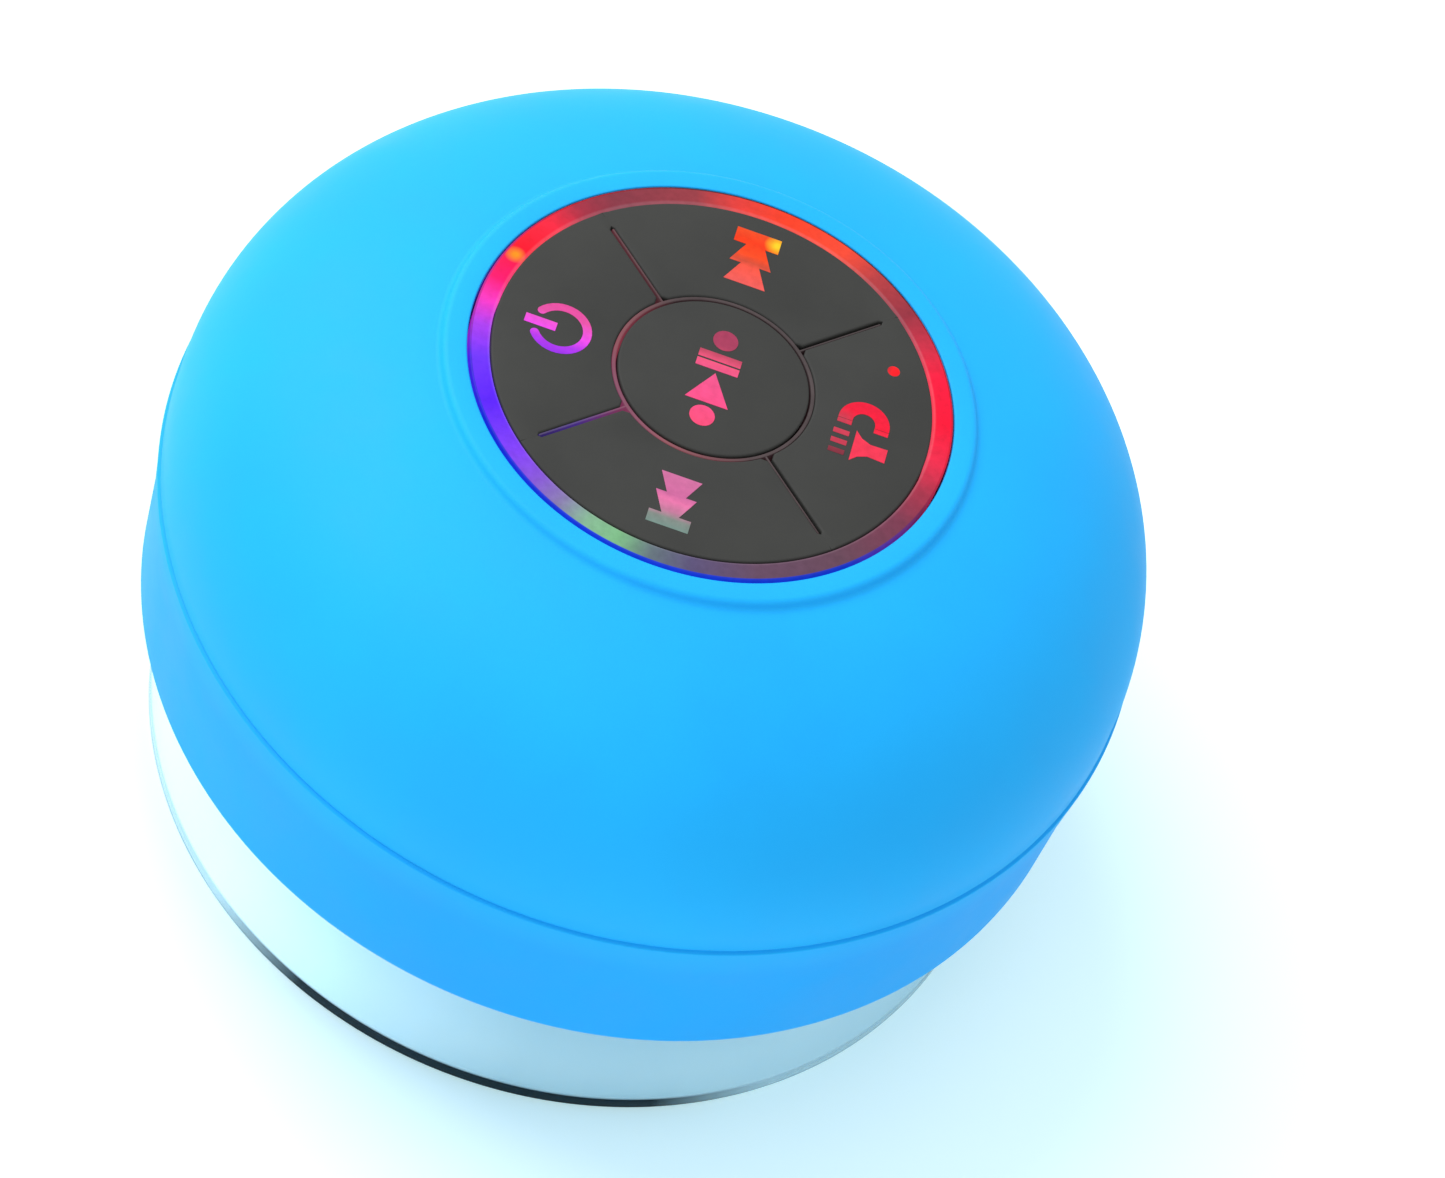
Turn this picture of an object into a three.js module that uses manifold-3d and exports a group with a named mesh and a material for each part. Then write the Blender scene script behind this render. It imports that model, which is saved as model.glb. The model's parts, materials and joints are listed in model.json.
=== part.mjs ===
// Shower speaker: a soft domed body with a lit ring and a five-key pad on top, and a clear suction
// cup below. Millimetres, +Z up. The origin is the middle of the suction cup's rim, which is the
// face that sits on a tile. The keys run back to front along Y and from side to side along X.
import * as THREE from 'three';
import { mergeVertices } from 'three/addons/utils/BufferGeometryUtils.js';
import Module from 'manifold-3d';

const wasm = await Module();
wasm.setup();

// ---- Driving dimensions -------------------------------------------------------------------------
const GAP = 0.3;                 // clearance between neighbouring solids
const SEAT = 0.1;                // clearance between a flat piece and what it stands on
const WIDE = 36;                 // sides on the large round pieces
const MID = 24;                  // sides on the medium round pieces
const FINE = 12;                 // sides on the small round pieces
const SIDES_OF_PIN = 8;          // sides on screws, bosses and pins
const THROUGH = 1;               // how far a cutter reaches past the face it opens

const BODY_R = 43;               // widest radius, at the seam of the sleeve
const SEAM_Z = 32;               // height of the seam
const DOME_R = 42.6;             // dome radius just above the seam
const DOME_BASE_Z = 33;
const DOME_RISE = 19.2;
const DOME_POWER_R = 2 / 3.8;    // exponents of the dome's rounded, flattened section
const DOME_POWER_Z = 2 / 2.15;
const DOME_STEPS = 7;

const WALL_R = 42.4;             // outer radius of the straight band below the seam
const SLEEVE_WALL = 1.6;
const SLEEVE_INNER_R = WALL_R - SLEEVE_WALL;
const SLEEVE_BOTTOM_Z = 16;
const SLEEVE_FOOT_R = 38;        // inner radius of the sleeve's turned-in foot
const SLEEVE_FOOT_Z = 17.4;
const SHELL_WALL = 2;
const SHELL_INSET = SLEEVE_WALL + GAP;
const SHELL_R = WALL_R - SHELL_INSET;
const SPLIT_Z = 31.2;            // where the two shells meet
const SPLIT_HALF = 0.15;         // half the gap between them

const COLLAR_OUTER_R = 22.7;     // raised lip round the light ring
const COLLAR_INNER_R = 20.7;
const COLLAR_Z = 52;
const TOP_Z = 52.1;              // tops of the light ring and of the keys
const RING_OUTER_R = 20.4;
const RING_INNER_R = 18.9;
const KEY_OUTER_R = 18.6;
const KEY_INNER_R = 8.6;
const KEY_GROOVE = 0.25;         // half the width of the groove between two keys
const PLAY_KEY_R = 8.1;
const KEY_BOTTOM_Z = 51;
const KEY_CORNER = Math.PI / 4;  // half the angle that one outer key spans
const KEY_NUB_R = 1.1;
const KEY_NUB_Z = 49.5;          // lower end of the nub that presses the switch
const OUTER_NUB_R = 13;          // distance of the outer keys' nubs from the axis
const WEB_BOTTOM_Z = 49.8;
const WEB_TOP_Z = 50.3;
const INDICATOR_X = 14.1;
const INDICATOR_Y = 7.2;
const INDICATOR_R = 0.55;

const LEDGE_TOP_Z = 49.5;
const LEDGE_BOTTOM_Z = 47.7;
const LEDGE_INNER_R = 17.6;
const BOARD_TOP_Z = 46;
const BOARD_BOTTOM_Z = 44.8;
const BOARD_R = 21.5;
const BOARD_SCREW_R = 19;        // radius of the circle of board screws
const BOARD_SCREW_COUNT = 3;
const BOARD_POST_R = 1.9;
const BOARD_PILOT_R = 1.1;
const BOARD_HOLE_R = 1.2;
const BOARD_SCREW_HEAD_R = 1.7;
const BOARD_SHANK_R = 0.8;
const BOARD_SHANK_TOP_Z = 48.5;
const LED_R = 19.4;              // radius of the circle of ring lights
const LED_COUNT = 6;
const LIGHT_WELL_R = 1.1;
const SWITCH_SIZE = 5;
const SWITCH_TOP_Z = 48.4;
const PLUNGER_R = 0.95;
const PLUNGER_DEPTH = 0.6;       // how far the plunger reaches into its switch
const PLUNGER_TOP_Z = KEY_NUB_Z - GAP;

const PLATE_Z = 16.3;            // underside of the back plate
const PLATE_TOP_Z = 18.3;
const STEM_BORE_R = 6.9;
const STEM_BOSS_R = 10;
const STEM_BORE_TOP_Z = 22.8;
const STEM_BOSS_TOP_Z = 24.1;
const BAFFLE_R = 19.6;
const BAFFLE_TOP_Z = 24.1;
const SLOT_COUNT = 16;           // sound slots in the back plate
const SHELL_SCREW_R = 34.4;      // radius of the circle of shell screws
const SHELL_SCREW_COUNT = 4;
const SHELL_POST_R = 2.6;
const SHELL_POST_TOP_Z = 42.4;
const SHELL_PILOT_R = 1.6;
const SHELL_HOLE_R = 1.8;
const SHELL_SCREW_HEAD_R = 2.6;
const SHELL_SHANK_R = 1.3;
const SHELL_SHANK_TOP_Z = 24;

const CUP_R = 39.4;
const CUP_LIP_R = 36.8;
const CUP_NECK_R = 6.5;
const CUP_NECK_TOP_Z = 22.4;
const GROOVE_R = 8;              // groove in the stem bore that holds the snap ring
const GROOVE_BOTTOM_Z = 19;
const GROOVE_TOP_Z = 21.4;

const DRIVER_R = 20.6;           // rim of the driver's basket
const MAGNET_R = 10;
const POLE_R = 3;
const COIL_INNER_R = 3.3;
const COIL_OUTER_R = 3.65;
const CONE_NECK_R = 4;

const PORT_Y = 40;               // mouth of the charging socket
const PORT_Z = 23.4;             // middle height of the charging socket
const SOCKET_HALF_WIDTH = 3.9;
const SOCKET_HALF_HEIGHT = 1.3;
const SOCKET_WALL = 0.4;
const SOCKET_LENGTH = 5.5;
const COVER_HALF_WIDTH = 6;
const COVER_BOTTOM_Z = 19.6;
const COVER_TOP_Z = 27;

// ---- Materials ----------------------------------------------------------------------------------
function finish(color, roughness, metalness = 0, opacity = 1) {
  const transparent = opacity < 1;
  return new THREE.MeshStandardMaterial({ color, roughness, metalness, opacity, transparent });
}

const SILICONE_BLUE = finish(0x32bcfc, 0.6);
const KEY_GREY = finish(0x46464a, 0.7);
const WEB_GREY = finish(0x2c2c2e, 0.8);
const DIFFUSER = finish(0xff2850, 0.4);
const SHELL_BLUE = finish(0x1f7fb4, 0.5);
const CLEAR_SILICONE = finish(0xcfe6f2, 0.15, 0, 0.35);
const BLACK_RUBBER = finish(0x1c1c1e, 0.8);
const BOARD_GREEN = finish(0x1d5a34, 0.5);
const CHIP_BLACK = finish(0x17171a, 0.5);
const LED_WHITE = finish(0xf2efe0, 0.3);
const STEEL = finish(0xb4b6ba, 0.35, 1);
const FERRITE = finish(0x333338, 0.6, 0.2);
const PAPER_BLACK = finish(0x232325, 0.85);
const COPPER = finish(0xb87333, 0.4, 1);
const CELL_SILVER = finish(0xc2c5c9, 0.4, 0.6);
const FOAM = finish(0x3a3a3c, 0.95);
const CLOTH = finish(0x18181a, 0.95);
const RED_WIRE = finish(0xb01818, 0.5);
const BLACK_WIRE = finish(0x141416, 0.5);

// ---- Solids -------------------------------------------------------------------------------------
function toSolid(geometry) {
  const plain = geometry.index ? geometry.toNonIndexed() : geometry.clone();
  plain.deleteAttribute('normal');
  plain.deleteAttribute('uv');
  const merged = mergeVertices(plain, 1e-4);
  const triVerts = Uint32Array.from(merged.index.array).filter((_, i, all) => {
    const first = i - (i % 3);
    const [a, b, c] = [all[first], all[first + 1], all[first + 2]];
    return a !== b && b !== c && a !== c;
  });
  const vertProperties = Float32Array.from(merged.attributes.position.array);
  if (signedVolume(vertProperties, triVerts) < 0) {
    flip(triVerts);
  }
  return new wasm.Manifold(new wasm.Mesh({ numProp: 3, vertProperties, triVerts }));
}

function signedVolume(vertices, triangles) {
  const [a, b, c] = [new THREE.Vector3(), new THREE.Vector3(), new THREE.Vector3()];
  let sum = 0;
  for (let i = 0; i < triangles.length; i += 3) {
    a.fromArray(vertices, triangles[i] * 3);
    b.fromArray(vertices, triangles[i + 1] * 3);
    c.fromArray(vertices, triangles[i + 2] * 3);
    sum += a.dot(b.cross(c)) / 6;
  }
  return sum;
}

function flip(triangles) {
  for (let i = 0; i < triangles.length; i += 3) {
    const second = triangles[i + 1];
    triangles[i + 1] = triangles[i + 2];
    triangles[i + 2] = second;
  }
}

function toGeometry(solid) {
  const mesh = solid.getMesh();
  const geometry = new THREE.BufferGeometry();
  geometry.setAttribute('position', new THREE.BufferAttribute(mesh.vertProperties, 3));
  geometry.setIndex(new THREE.BufferAttribute(mesh.triVerts, 1));
  geometry.computeVertexNormals();
  return geometry;
}

// Turns a list of [radius, height] points about Z. The outline starts and ends on the axis, or it
// is closed here.
function revolve(outline, sides) {
  const points = outline.map(([r, z]) => new THREE.Vector2(Math.max(r, 0), z));
  const onAxis = points[0].x < 1e-6 && points[points.length - 1].x < 1e-6;
  if (!onAxis) {
    points.push(points[0].clone());
  }
  const geometry = new THREE.LatheGeometry(points, sides);
  geometry.rotateX(Math.PI / 2);
  return toSolid(geometry);
}

function cylinder(r, z0, z1, sides = FINE, x = 0, y = 0) {
  return revolve([[0, z0], [r, z0], [r, z1], [0, z1]], sides).translate([x, y, 0]);
}

function tube(inner, outer, z0, z1, sides = FINE, x = 0, y = 0) {
  return revolve([[inner, z0], [outer, z0], [outer, z1], [inner, z1]], sides).translate([x, y, 0]);
}

function block(x0, x1, y0, y1, z0, z1) {
  const geometry = new THREE.BoxGeometry(x1 - x0, y1 - y0, z1 - z0);
  geometry.translate((x0 + x1) / 2, (y0 + y1) / 2, (z0 + z1) / 2);
  return toSolid(geometry);
}

function extrude(shape, z0, z1, curveSegments = 9) {
  const geometry = new THREE.ExtrudeGeometry(shape, { depth: z1 - z0, bevelEnabled: false, curveSegments });
  geometry.translate(0, 0, z0);
  return toSolid(geometry);
}

function polar(radius, angle) {
  return [radius * Math.cos(angle), radius * Math.sin(angle)];
}

function aroundAxis(count, first, make) {
  return Array.from({ length: count }, (_, i) => make(first + (i * 2 * Math.PI) / count, i));
}

function cutAll(solid, cutters) {
  return cutters.reduce((rest, cutter) => rest.subtract(cutter), solid);
}

function joinAll(solid, additions) {
  return additions.reduce((sum, piece) => sum.add(piece), solid);
}

// A point on the dome, moved in along the surface normal. turn runs from 0 at the foot to PI/2 at
// the top.
function domePoint(turn, inset = 0) {
  const at = (t) => new THREE.Vector2(
    DOME_R * Math.cos(t) ** DOME_POWER_R,
    DOME_BASE_Z + DOME_RISE * Math.sin(t) ** DOME_POWER_Z,
  );
  const step = 1e-3;
  const start = Math.max(turn - step, 1e-6);
  const along = at(turn + step).sub(at(start)).normalize();
  const point = at(Math.max(turn, 1e-6));
  return [point.x - along.y * inset, point.y + along.x * inset];
}

// Where the dome reaches a given radius.
function domeTurn(radius) {
  return Math.acos((radius / DOME_R) ** (1 / DOME_POWER_R));
}

function domeOutline(inset, lastTurn) {
  const points = [];
  for (let i = 0; i <= DOME_STEPS; i += 1) {
    points.push(domePoint((lastTurn * i) / DOME_STEPS, inset));
  }
  return points;
}

// ---- Assembly -----------------------------------------------------------------------------------
const speaker = new THREE.Group();

function part(name, solid, material) {
  const mesh = new THREE.Mesh(toGeometry(solid), material);
  mesh.name = name;
  speaker.add(mesh);
}

// ---- Soft body ----------------------------------------------------------------------------------
function coverWindow(margin) {
  const side = COVER_HALF_WIDTH + margin;
  return block(-side, side, 34, 50, COVER_BOTTOM_Z - margin, COVER_TOP_Z + margin);
}

function sleeve() {
  const collarFoot = domeTurn(COLLAR_OUTER_R + 0.3);
  const outer = domeOutline(0, collarFoot);
  const inner = domeOutline(SLEEVE_WALL, domeTurn(COLLAR_OUTER_R + 1.2)).reverse();
  const outline = [
    [SLEEVE_FOOT_R, SLEEVE_BOTTOM_Z], [41, SLEEVE_BOTTOM_Z], [42, 16.5], [WALL_R, 17.5], [42.5, 25.4],
    [42.9, 31.2], [BODY_R, SEAM_Z - 0.3], [42.6, SEAM_Z], [42.7, SEAM_Z + 0.5],
    ...outer,
    [COLLAR_OUTER_R, COLLAR_Z - 0.4], [COLLAR_OUTER_R - 0.4, COLLAR_Z], [COLLAR_INNER_R, COLLAR_Z],
    [COLLAR_INNER_R, COLLAR_Z - SLEEVE_WALL],
    ...inner,
    [SLEEVE_INNER_R, SEAM_Z - 0.6], [SLEEVE_INNER_R, SLEEVE_FOOT_Z], [SLEEVE_FOOT_R, SLEEVE_FOOT_Z],
  ];
  return revolve(outline, WIDE).subtract(coverWindow(GAP));
}

function usbCover() {
  return tube(SLEEVE_INNER_R, WALL_R, 18, 29, WIDE).intersect(coverWindow(0));
}

part('silicone_sleeve', sleeve(), SILICONE_BLUE);
part('usb_cover', usbCover(), SILICONE_BLUE);

// ---- Shells -------------------------------------------------------------------------------------
function shellScrewAngles() {
  return aroundAxis(SHELL_SCREW_COUNT, Math.PI / 4, (angle) => angle);
}

function boardScrewAngles() {
  return aroundAxis(BOARD_SCREW_COUNT, Math.PI / 6, (angle) => angle);
}

function ledAngles() {
  return aroundAxis(LED_COUNT, 0, (angle) => angle);
}

function upperShell() {
  const topTurn = domeTurn(COLLAR_OUTER_R + 2.4);
  const outer = domeOutline(SHELL_INSET, topTurn);
  const inner = domeOutline(SHELL_INSET + SHELL_WALL, topTurn).reverse();
  const wall = revolve([
    [SHELL_R, SPLIT_Z + SPLIT_HALF], ...outer,
    [RING_OUTER_R + GAP, 50.1], [RING_OUTER_R + GAP, LEDGE_TOP_Z], [LEDGE_INNER_R, LEDGE_TOP_Z],
    [LEDGE_INNER_R, LEDGE_BOTTOM_Z], [22.4, LEDGE_BOTTOM_Z],
    ...inner,
    [SHELL_R - SHELL_WALL, SPLIT_Z + SPLIT_HALF],
  ], WIDE);
  const posts = shellScrewAngles().map((angle) => {
    const [x, y] = polar(SHELL_SCREW_R, angle);
    return cylinder(SHELL_POST_R, PLATE_TOP_Z + GAP, SHELL_POST_TOP_Z, SIDES_OF_PIN, x, y);
  });
  const boardPosts = boardScrewAngles().map((angle) => {
    const [x, y] = polar(BOARD_SCREW_R, angle);
    return cylinder(BOARD_POST_R, BOARD_TOP_Z + SEAT, LEDGE_BOTTOM_Z + 0.5, SIDES_OF_PIN, x, y);
  });
  const pilots = shellScrewAngles().map((angle) => {
    const [x, y] = polar(SHELL_SCREW_R, angle);
    return cylinder(SHELL_PILOT_R, PLATE_TOP_Z - THROUGH, SHELL_SHANK_TOP_Z + 1, SIDES_OF_PIN, x, y);
  });
  const boardPilots = boardScrewAngles().map((angle) => {
    const [x, y] = polar(BOARD_SCREW_R, angle);
    return cylinder(BOARD_PILOT_R, BOARD_TOP_Z - THROUGH, BOARD_SHANK_TOP_Z + 0.4, SIDES_OF_PIN, x, y);
  });
  const lightWells = ledAngles().map((angle) => {
    const [x, y] = polar(LED_R, angle);
    return cylinder(LIGHT_WELL_R, LEDGE_BOTTOM_Z - THROUGH, LEDGE_TOP_Z + THROUGH, SIDES_OF_PIN, x, y);
  });
  const solid = joinAll(wall, [...posts, ...boardPosts]);
  return cutAll(solid, [...pilots, ...boardPilots, ...lightWells]);
}

function lowerShell() {
  const top = SPLIT_Z - SPLIT_HALF;
  const wall = revolve([
    [STEM_BORE_R, PLATE_Z], [37.6, PLATE_Z], [37.6, 17.7], [SHELL_R, 17.7], [SHELL_R, top],
    [SHELL_R - SHELL_WALL, top], [SHELL_R - SHELL_WALL, PLATE_TOP_Z],
    [BAFFLE_R + 1.6, PLATE_TOP_Z], [BAFFLE_R + 1.6, BAFFLE_TOP_Z], [BAFFLE_R, BAFFLE_TOP_Z],
    [BAFFLE_R, PLATE_TOP_Z], [STEM_BOSS_R, PLATE_TOP_Z], [STEM_BOSS_R, STEM_BOSS_TOP_Z],
    [0, STEM_BOSS_TOP_Z], [0, STEM_BORE_TOP_Z], [STEM_BORE_R, STEM_BORE_TOP_Z],
    [STEM_BORE_R, GROOVE_TOP_Z], [GROOVE_R, GROOVE_TOP_Z], [GROOVE_R, GROOVE_BOTTOM_Z],
    [STEM_BORE_R, GROOVE_BOTTOM_Z],
  ], WIDE);
  const slot = block(11, 18.4, -0.9, 0.9, PLATE_Z - THROUGH, PLATE_TOP_Z + THROUGH);
  const slots = aroundAxis(SLOT_COUNT, Math.PI / SLOT_COUNT, (angle) =>
    slot.rotate([0, 0, THREE.MathUtils.radToDeg(angle)]));
  const screwHoles = shellScrewAngles().map((angle) => {
    const [x, y] = polar(SHELL_SCREW_R, angle);
    return cylinder(SHELL_HOLE_R, PLATE_Z - THROUGH, PLATE_TOP_Z + THROUGH, SIDES_OF_PIN, x, y);
  });
  const port = block(-5.2, 5.2, 36, 42, PORT_Z - 2.2, PORT_Z + 2.2);
  const tray = block(-17, 17, -26.4, -25.2, PLATE_TOP_Z - 0.5, 27);
  const boardRests = [-1, 1].map((side) =>
    block(side * 8 - 1.5, side * 8 + 1.5, 28, 31, PLATE_TOP_Z - 0.5, PORT_Z - 2.6));
  return cutAll(joinAll(wall, [tray, ...boardRests]), [...slots, ...screwHoles, port]);
}

part('upper_shell', upperShell(), SHELL_BLUE);
part('lower_shell', lowerShell(), SHELL_BLUE);
part('shell_seal', tube(37.2, 38.2, 30.2, 32.2, WIDE), BLACK_RUBBER);

// ---- Light ring and keypad ----------------------------------------------------------------------
function keyNub(x, y) {
  return cylinder(KEY_NUB_R, KEY_NUB_Z, KEY_BOTTOM_Z + 0.2, SIDES_OF_PIN, x, y);
}

// One quarter of the pad, centred on +X, with straight sides next to the diagonal grooves.
function outerKey() {
  const outerAngle = KEY_CORNER - Math.asin(KEY_GROOVE / KEY_OUTER_R);
  const innerAngle = KEY_CORNER - Math.asin(KEY_GROOVE / KEY_INNER_R);
  const shape = new THREE.Shape();
  shape.absarc(0, 0, KEY_OUTER_R, -outerAngle, outerAngle, false);
  shape.absarc(0, 0, KEY_INNER_R, innerAngle, -innerAngle, true);
  shape.closePath();
  return extrude(shape, KEY_BOTTOM_Z, TOP_Z).add(keyNub(OUTER_NUB_R, 0));
}

const KEY_SIDES = [
  { name: 'phone', turn: 0 },
  { name: 'previous', turn: 90 },
  { name: 'power', turn: 180 },
  { name: 'next', turn: 270 },
];

function keypadWeb() {
  const holes = [[0, 0], ...KEY_SIDES.map(({ turn }) => polar(OUTER_NUB_R, THREE.MathUtils.degToRad(turn)))];
  const disc = cylinder(RING_OUTER_R - 0.1, WEB_BOTTOM_Z, WEB_TOP_Z, WIDE);
  return cutAll(disc, holes.map(([x, y]) =>
    cylinder(KEY_NUB_R + 0.4, WEB_BOTTOM_Z - THROUGH, WEB_TOP_Z + THROUGH, SIDES_OF_PIN, x, y)));
}

function phoneKey() {
  const window = cylinder(INDICATOR_R + GAP, KEY_BOTTOM_Z - THROUGH, TOP_Z + THROUGH, SIDES_OF_PIN,
    INDICATOR_X, INDICATOR_Y);
  return outerKey().subtract(window);
}

part('light_ring', tube(RING_INNER_R, RING_OUTER_R, WEB_TOP_Z + GAP, TOP_Z, WIDE), DIFFUSER);
part('keypad_web', keypadWeb(), WEB_GREY);
part('key_play', cylinder(PLAY_KEY_R, KEY_BOTTOM_Z, TOP_Z, MID).add(keyNub(0, 0)), KEY_GREY);
for (const { name, turn } of KEY_SIDES) {
  const solid = name === 'phone' ? phoneKey() : outerKey();
  part(`key_${name}`, solid.rotate([0, 0, turn]), KEY_GREY);
}
part('indicator_lens',
  cylinder(INDICATOR_R, KEY_BOTTOM_Z, TOP_Z, SIDES_OF_PIN, INDICATOR_X, INDICATOR_Y), DIFFUSER);

// ---- Control board ------------------------------------------------------------------------------
function mainBoard() {
  const holes = boardScrewAngles().map((angle) => {
    const [x, y] = polar(BOARD_SCREW_R, angle);
    return cylinder(BOARD_HOLE_R, BOARD_BOTTOM_Z - THROUGH, BOARD_TOP_Z + THROUGH, SIDES_OF_PIN, x, y);
  });
  return cutAll(cylinder(BOARD_R, BOARD_BOTTOM_Z, BOARD_TOP_Z, MID), holes);
}

function tactSwitch(x, y) {
  const half = SWITCH_SIZE / 2;
  const body = block(x - half, x + half, y - half, y + half, BOARD_TOP_Z + SEAT, SWITCH_TOP_Z);
  const bore = cylinder(PLUNGER_R + GAP, SWITCH_TOP_Z - 1, SWITCH_TOP_Z + THROUGH, SIDES_OF_PIN, x, y);
  return body.subtract(bore);
}

function plunger(x, y) {
  return cylinder(PLUNGER_R, SWITCH_TOP_Z - PLUNGER_DEPTH, PLUNGER_TOP_Z, SIDES_OF_PIN, x, y);
}

function boardScrew(angle) {
  const [x, y] = polar(BOARD_SCREW_R, angle);
  const headTop = BOARD_BOTTOM_Z - SEAT;
  const head = cylinder(BOARD_SCREW_HEAD_R, headTop - 1, headTop, SIDES_OF_PIN, x, y);
  return head.add(cylinder(BOARD_SHANK_R, headTop - 0.5, BOARD_SHANK_TOP_Z, SIDES_OF_PIN, x, y));
}

function ringLight(angle) {
  const [x, y] = polar(LED_R, angle);
  return block(x - 0.9, x + 0.9, y - 0.8, y + 0.8, BOARD_TOP_Z + SEAT, BOARD_TOP_Z + 1);
}

part('main_board', mainBoard(), BOARD_GREEN);
for (const { name, turn } of [{ name: 'play', turn: null }, ...KEY_SIDES]) {
  const [x, y] = turn === null ? [0, 0] : polar(OUTER_NUB_R, THREE.MathUtils.degToRad(turn));
  part(`tact_switch_${name}`, tactSwitch(x, y), STEEL);
  part(`tact_plunger_${name}`, plunger(x, y), CHIP_BLACK);
}
ledAngles().forEach((angle, i) => part(`ring_led_${i + 1}`, ringLight(angle), LED_WHITE));
boardScrewAngles().forEach((angle, i) => part(`board_screw_${i + 1}`, boardScrew(angle), STEEL));
part('bluetooth_chip', block(-4, 4, 4, 11, BOARD_BOTTOM_Z - 1.2, BOARD_BOTTOM_Z - SEAT), CHIP_BLACK);
part('amplifier_chip', block(-3, 3, -10, -5, BOARD_BOTTOM_Z - 1.4, BOARD_BOTTOM_Z - SEAT), CHIP_BLACK);
part('filter_capacitor', cylinder(2.5, 39.4, BOARD_BOTTOM_Z - SEAT, FINE, 14, -4), CHIP_BLACK);
part('microphone', cylinder(2, BOARD_BOTTOM_Z - 1.6, BOARD_BOTTOM_Z - SEAT, FINE, -12, 6), STEEL);

// ---- Driver, facing the back plate --------------------------------------------------------------
function driverFrame() {
  return revolve([
    [17.9, 24.8], [DRIVER_R, 24.8], [DRIVER_R, 25.9], [18.9, 26], [18.9, 27.8], [12.2, 34.1],
    [4.6, 34.1], [4.6, 33.1], [11.5, 33.1], [17.9, 27.3],
  ], MID);
}

function driverYoke() {
  return revolve([[0, 34.8], [POLE_R, 34.8], [POLE_R, 40.2], [9.6, 40.2], [9.6, 42], [0, 42]], MID);
}

function cone() {
  return revolve([[CONE_NECK_R, 30.6], [13.9, 26.6], [14, 27.1], [CONE_NECK_R, 31.2]], MID);
}

function dustCap() {
  return revolve([[0, 27.2], [3, 27.7], [5.2, 29], [5.2, 29.5], [3, 28.2], [0, 27.7]], MID);
}

function surround() {
  return revolve([
    [14.3, 26.4], [15, 25.7], [15.9, 25.4], [16.8, 25.7], [17.5, 26.4],
    [17.1, 26.5], [15.9, 25.9], [14.7, 26.7],
  ], MID);
}

part('driver_gasket', tube(19.7, 20.9, BAFFLE_TOP_Z + SEAT, 24.7, MID), FOAM);
part('driver_frame', driverFrame(), CHIP_BLACK);
part('driver_top_plate', tube(CONE_NECK_R, MAGNET_R, 34.4, 35.7, MID), STEEL);
part('driver_magnet', tube(5, MAGNET_R, 35.9, 39.9, MID), FERRITE);
part('driver_yoke', driverYoke(), STEEL);
part('voice_coil', tube(COIL_INNER_R, COIL_OUTER_R, 30.6, 38.6, MID), COPPER);
part('driver_cone', cone(), PAPER_BLACK);
part('dust_cap', dustCap(), PAPER_BLACK);
part('cone_surround', surround(), BLACK_RUBBER);
part('cone_spider', tube(CONE_NECK_R, 10.6, 32, 32.3, MID), COPPER);
part('grille_cloth', tube(10.4, 19.2, PLATE_TOP_Z + SEAT, 18.8, MID), CLOTH);

// ---- Battery and charging socket ----------------------------------------------------------------
function usbSocket() {
  const wide = SOCKET_HALF_WIDTH;
  const high = SOCKET_HALF_HEIGHT;
  const mouthWide = wide - SOCKET_WALL;
  const mouthHigh = high - SOCKET_WALL;
  const body = block(-wide, wide, PORT_Y - SOCKET_LENGTH, PORT_Y, PORT_Z - high, PORT_Z + high);
  const mouth = block(-mouthWide, mouthWide, PORT_Y - SOCKET_LENGTH + 1, PORT_Y + THROUGH,
    PORT_Z - mouthHigh, PORT_Z + mouthHigh);
  return body.subtract(mouth);
}

part('battery_cell', block(-16, 16, -33, -27, 19.5, 38), CELL_SILVER);
part('battery_pad', block(-12, 12, -34.2, -33.2, 22, 35), FOAM);
part('usb_board', block(-9.5, 9.5, 27.5, 36.5, PORT_Z - 2.5, PORT_Z - 1.4), BOARD_GREEN);
part('usb_socket', usbSocket(), STEEL);

// ---- Wires --------------------------------------------------------------------------------------
function wire(points, radius = 0.5) {
  const path = new THREE.CatmullRomCurve3(points.map((p) => new THREE.Vector3(...p)));
  const section = new THREE.Shape();
  section.absarc(0, 0, radius, 0, Math.PI * 2, false);
  const options = { steps: 14, curveSegments: 3, extrudePath: path, bevelEnabled: false };
  return toSolid(new THREE.ExtrudeGeometry(section, options));
}

part('battery_lead', wire([[-11, -29, 38.5], [-12, -27, 41], [-13, -22, 43.2], [-12, -15, 43.8]]), RED_WIRE);
part('driver_lead', wire([[10, 12, 31.5], [13, 15, 35], [13, 14, 40], [9, 10, 43.8]]), BLACK_WIRE);

// ---- Screws, suction cup and its ring -----------------------------------------------------------
function shellScrew(angle) {
  const [x, y] = polar(SHELL_SCREW_R, angle);
  const head = cylinder(SHELL_SCREW_HEAD_R, PLATE_Z - 1.4, PLATE_Z - SEAT, SIDES_OF_PIN, x, y);
  return head.add(cylinder(SHELL_SHANK_R, PLATE_Z - 0.4, SHELL_SHANK_TOP_Z, SIDES_OF_PIN, x, y));
}

function suctionCup() {
  return revolve([
    [0, 8.3], [10, 8], [18, 7.2], [25, 5.9], [31, 4], [CUP_LIP_R, 0], [CUP_R, 0], [CUP_R, 1],
    [36.5, 4.8], [32, 8.2], [25, 11.2], [17, 13.1], [9, 13.9], [CUP_NECK_R, 14.4],
    [CUP_NECK_R, CUP_NECK_TOP_Z], [0, CUP_NECK_TOP_Z],
  ], WIDE);
}

shellScrewAngles().forEach((angle, i) => part(`shell_screw_${i + 1}`, shellScrew(angle), STEEL));
part('stem_ring', tube(6.8, 7.7, 19.3, 21.1, MID), BLACK_RUBBER);
part('suction_cup', suctionCup(), CLEAR_SILICONE);

export default speaker;
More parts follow.
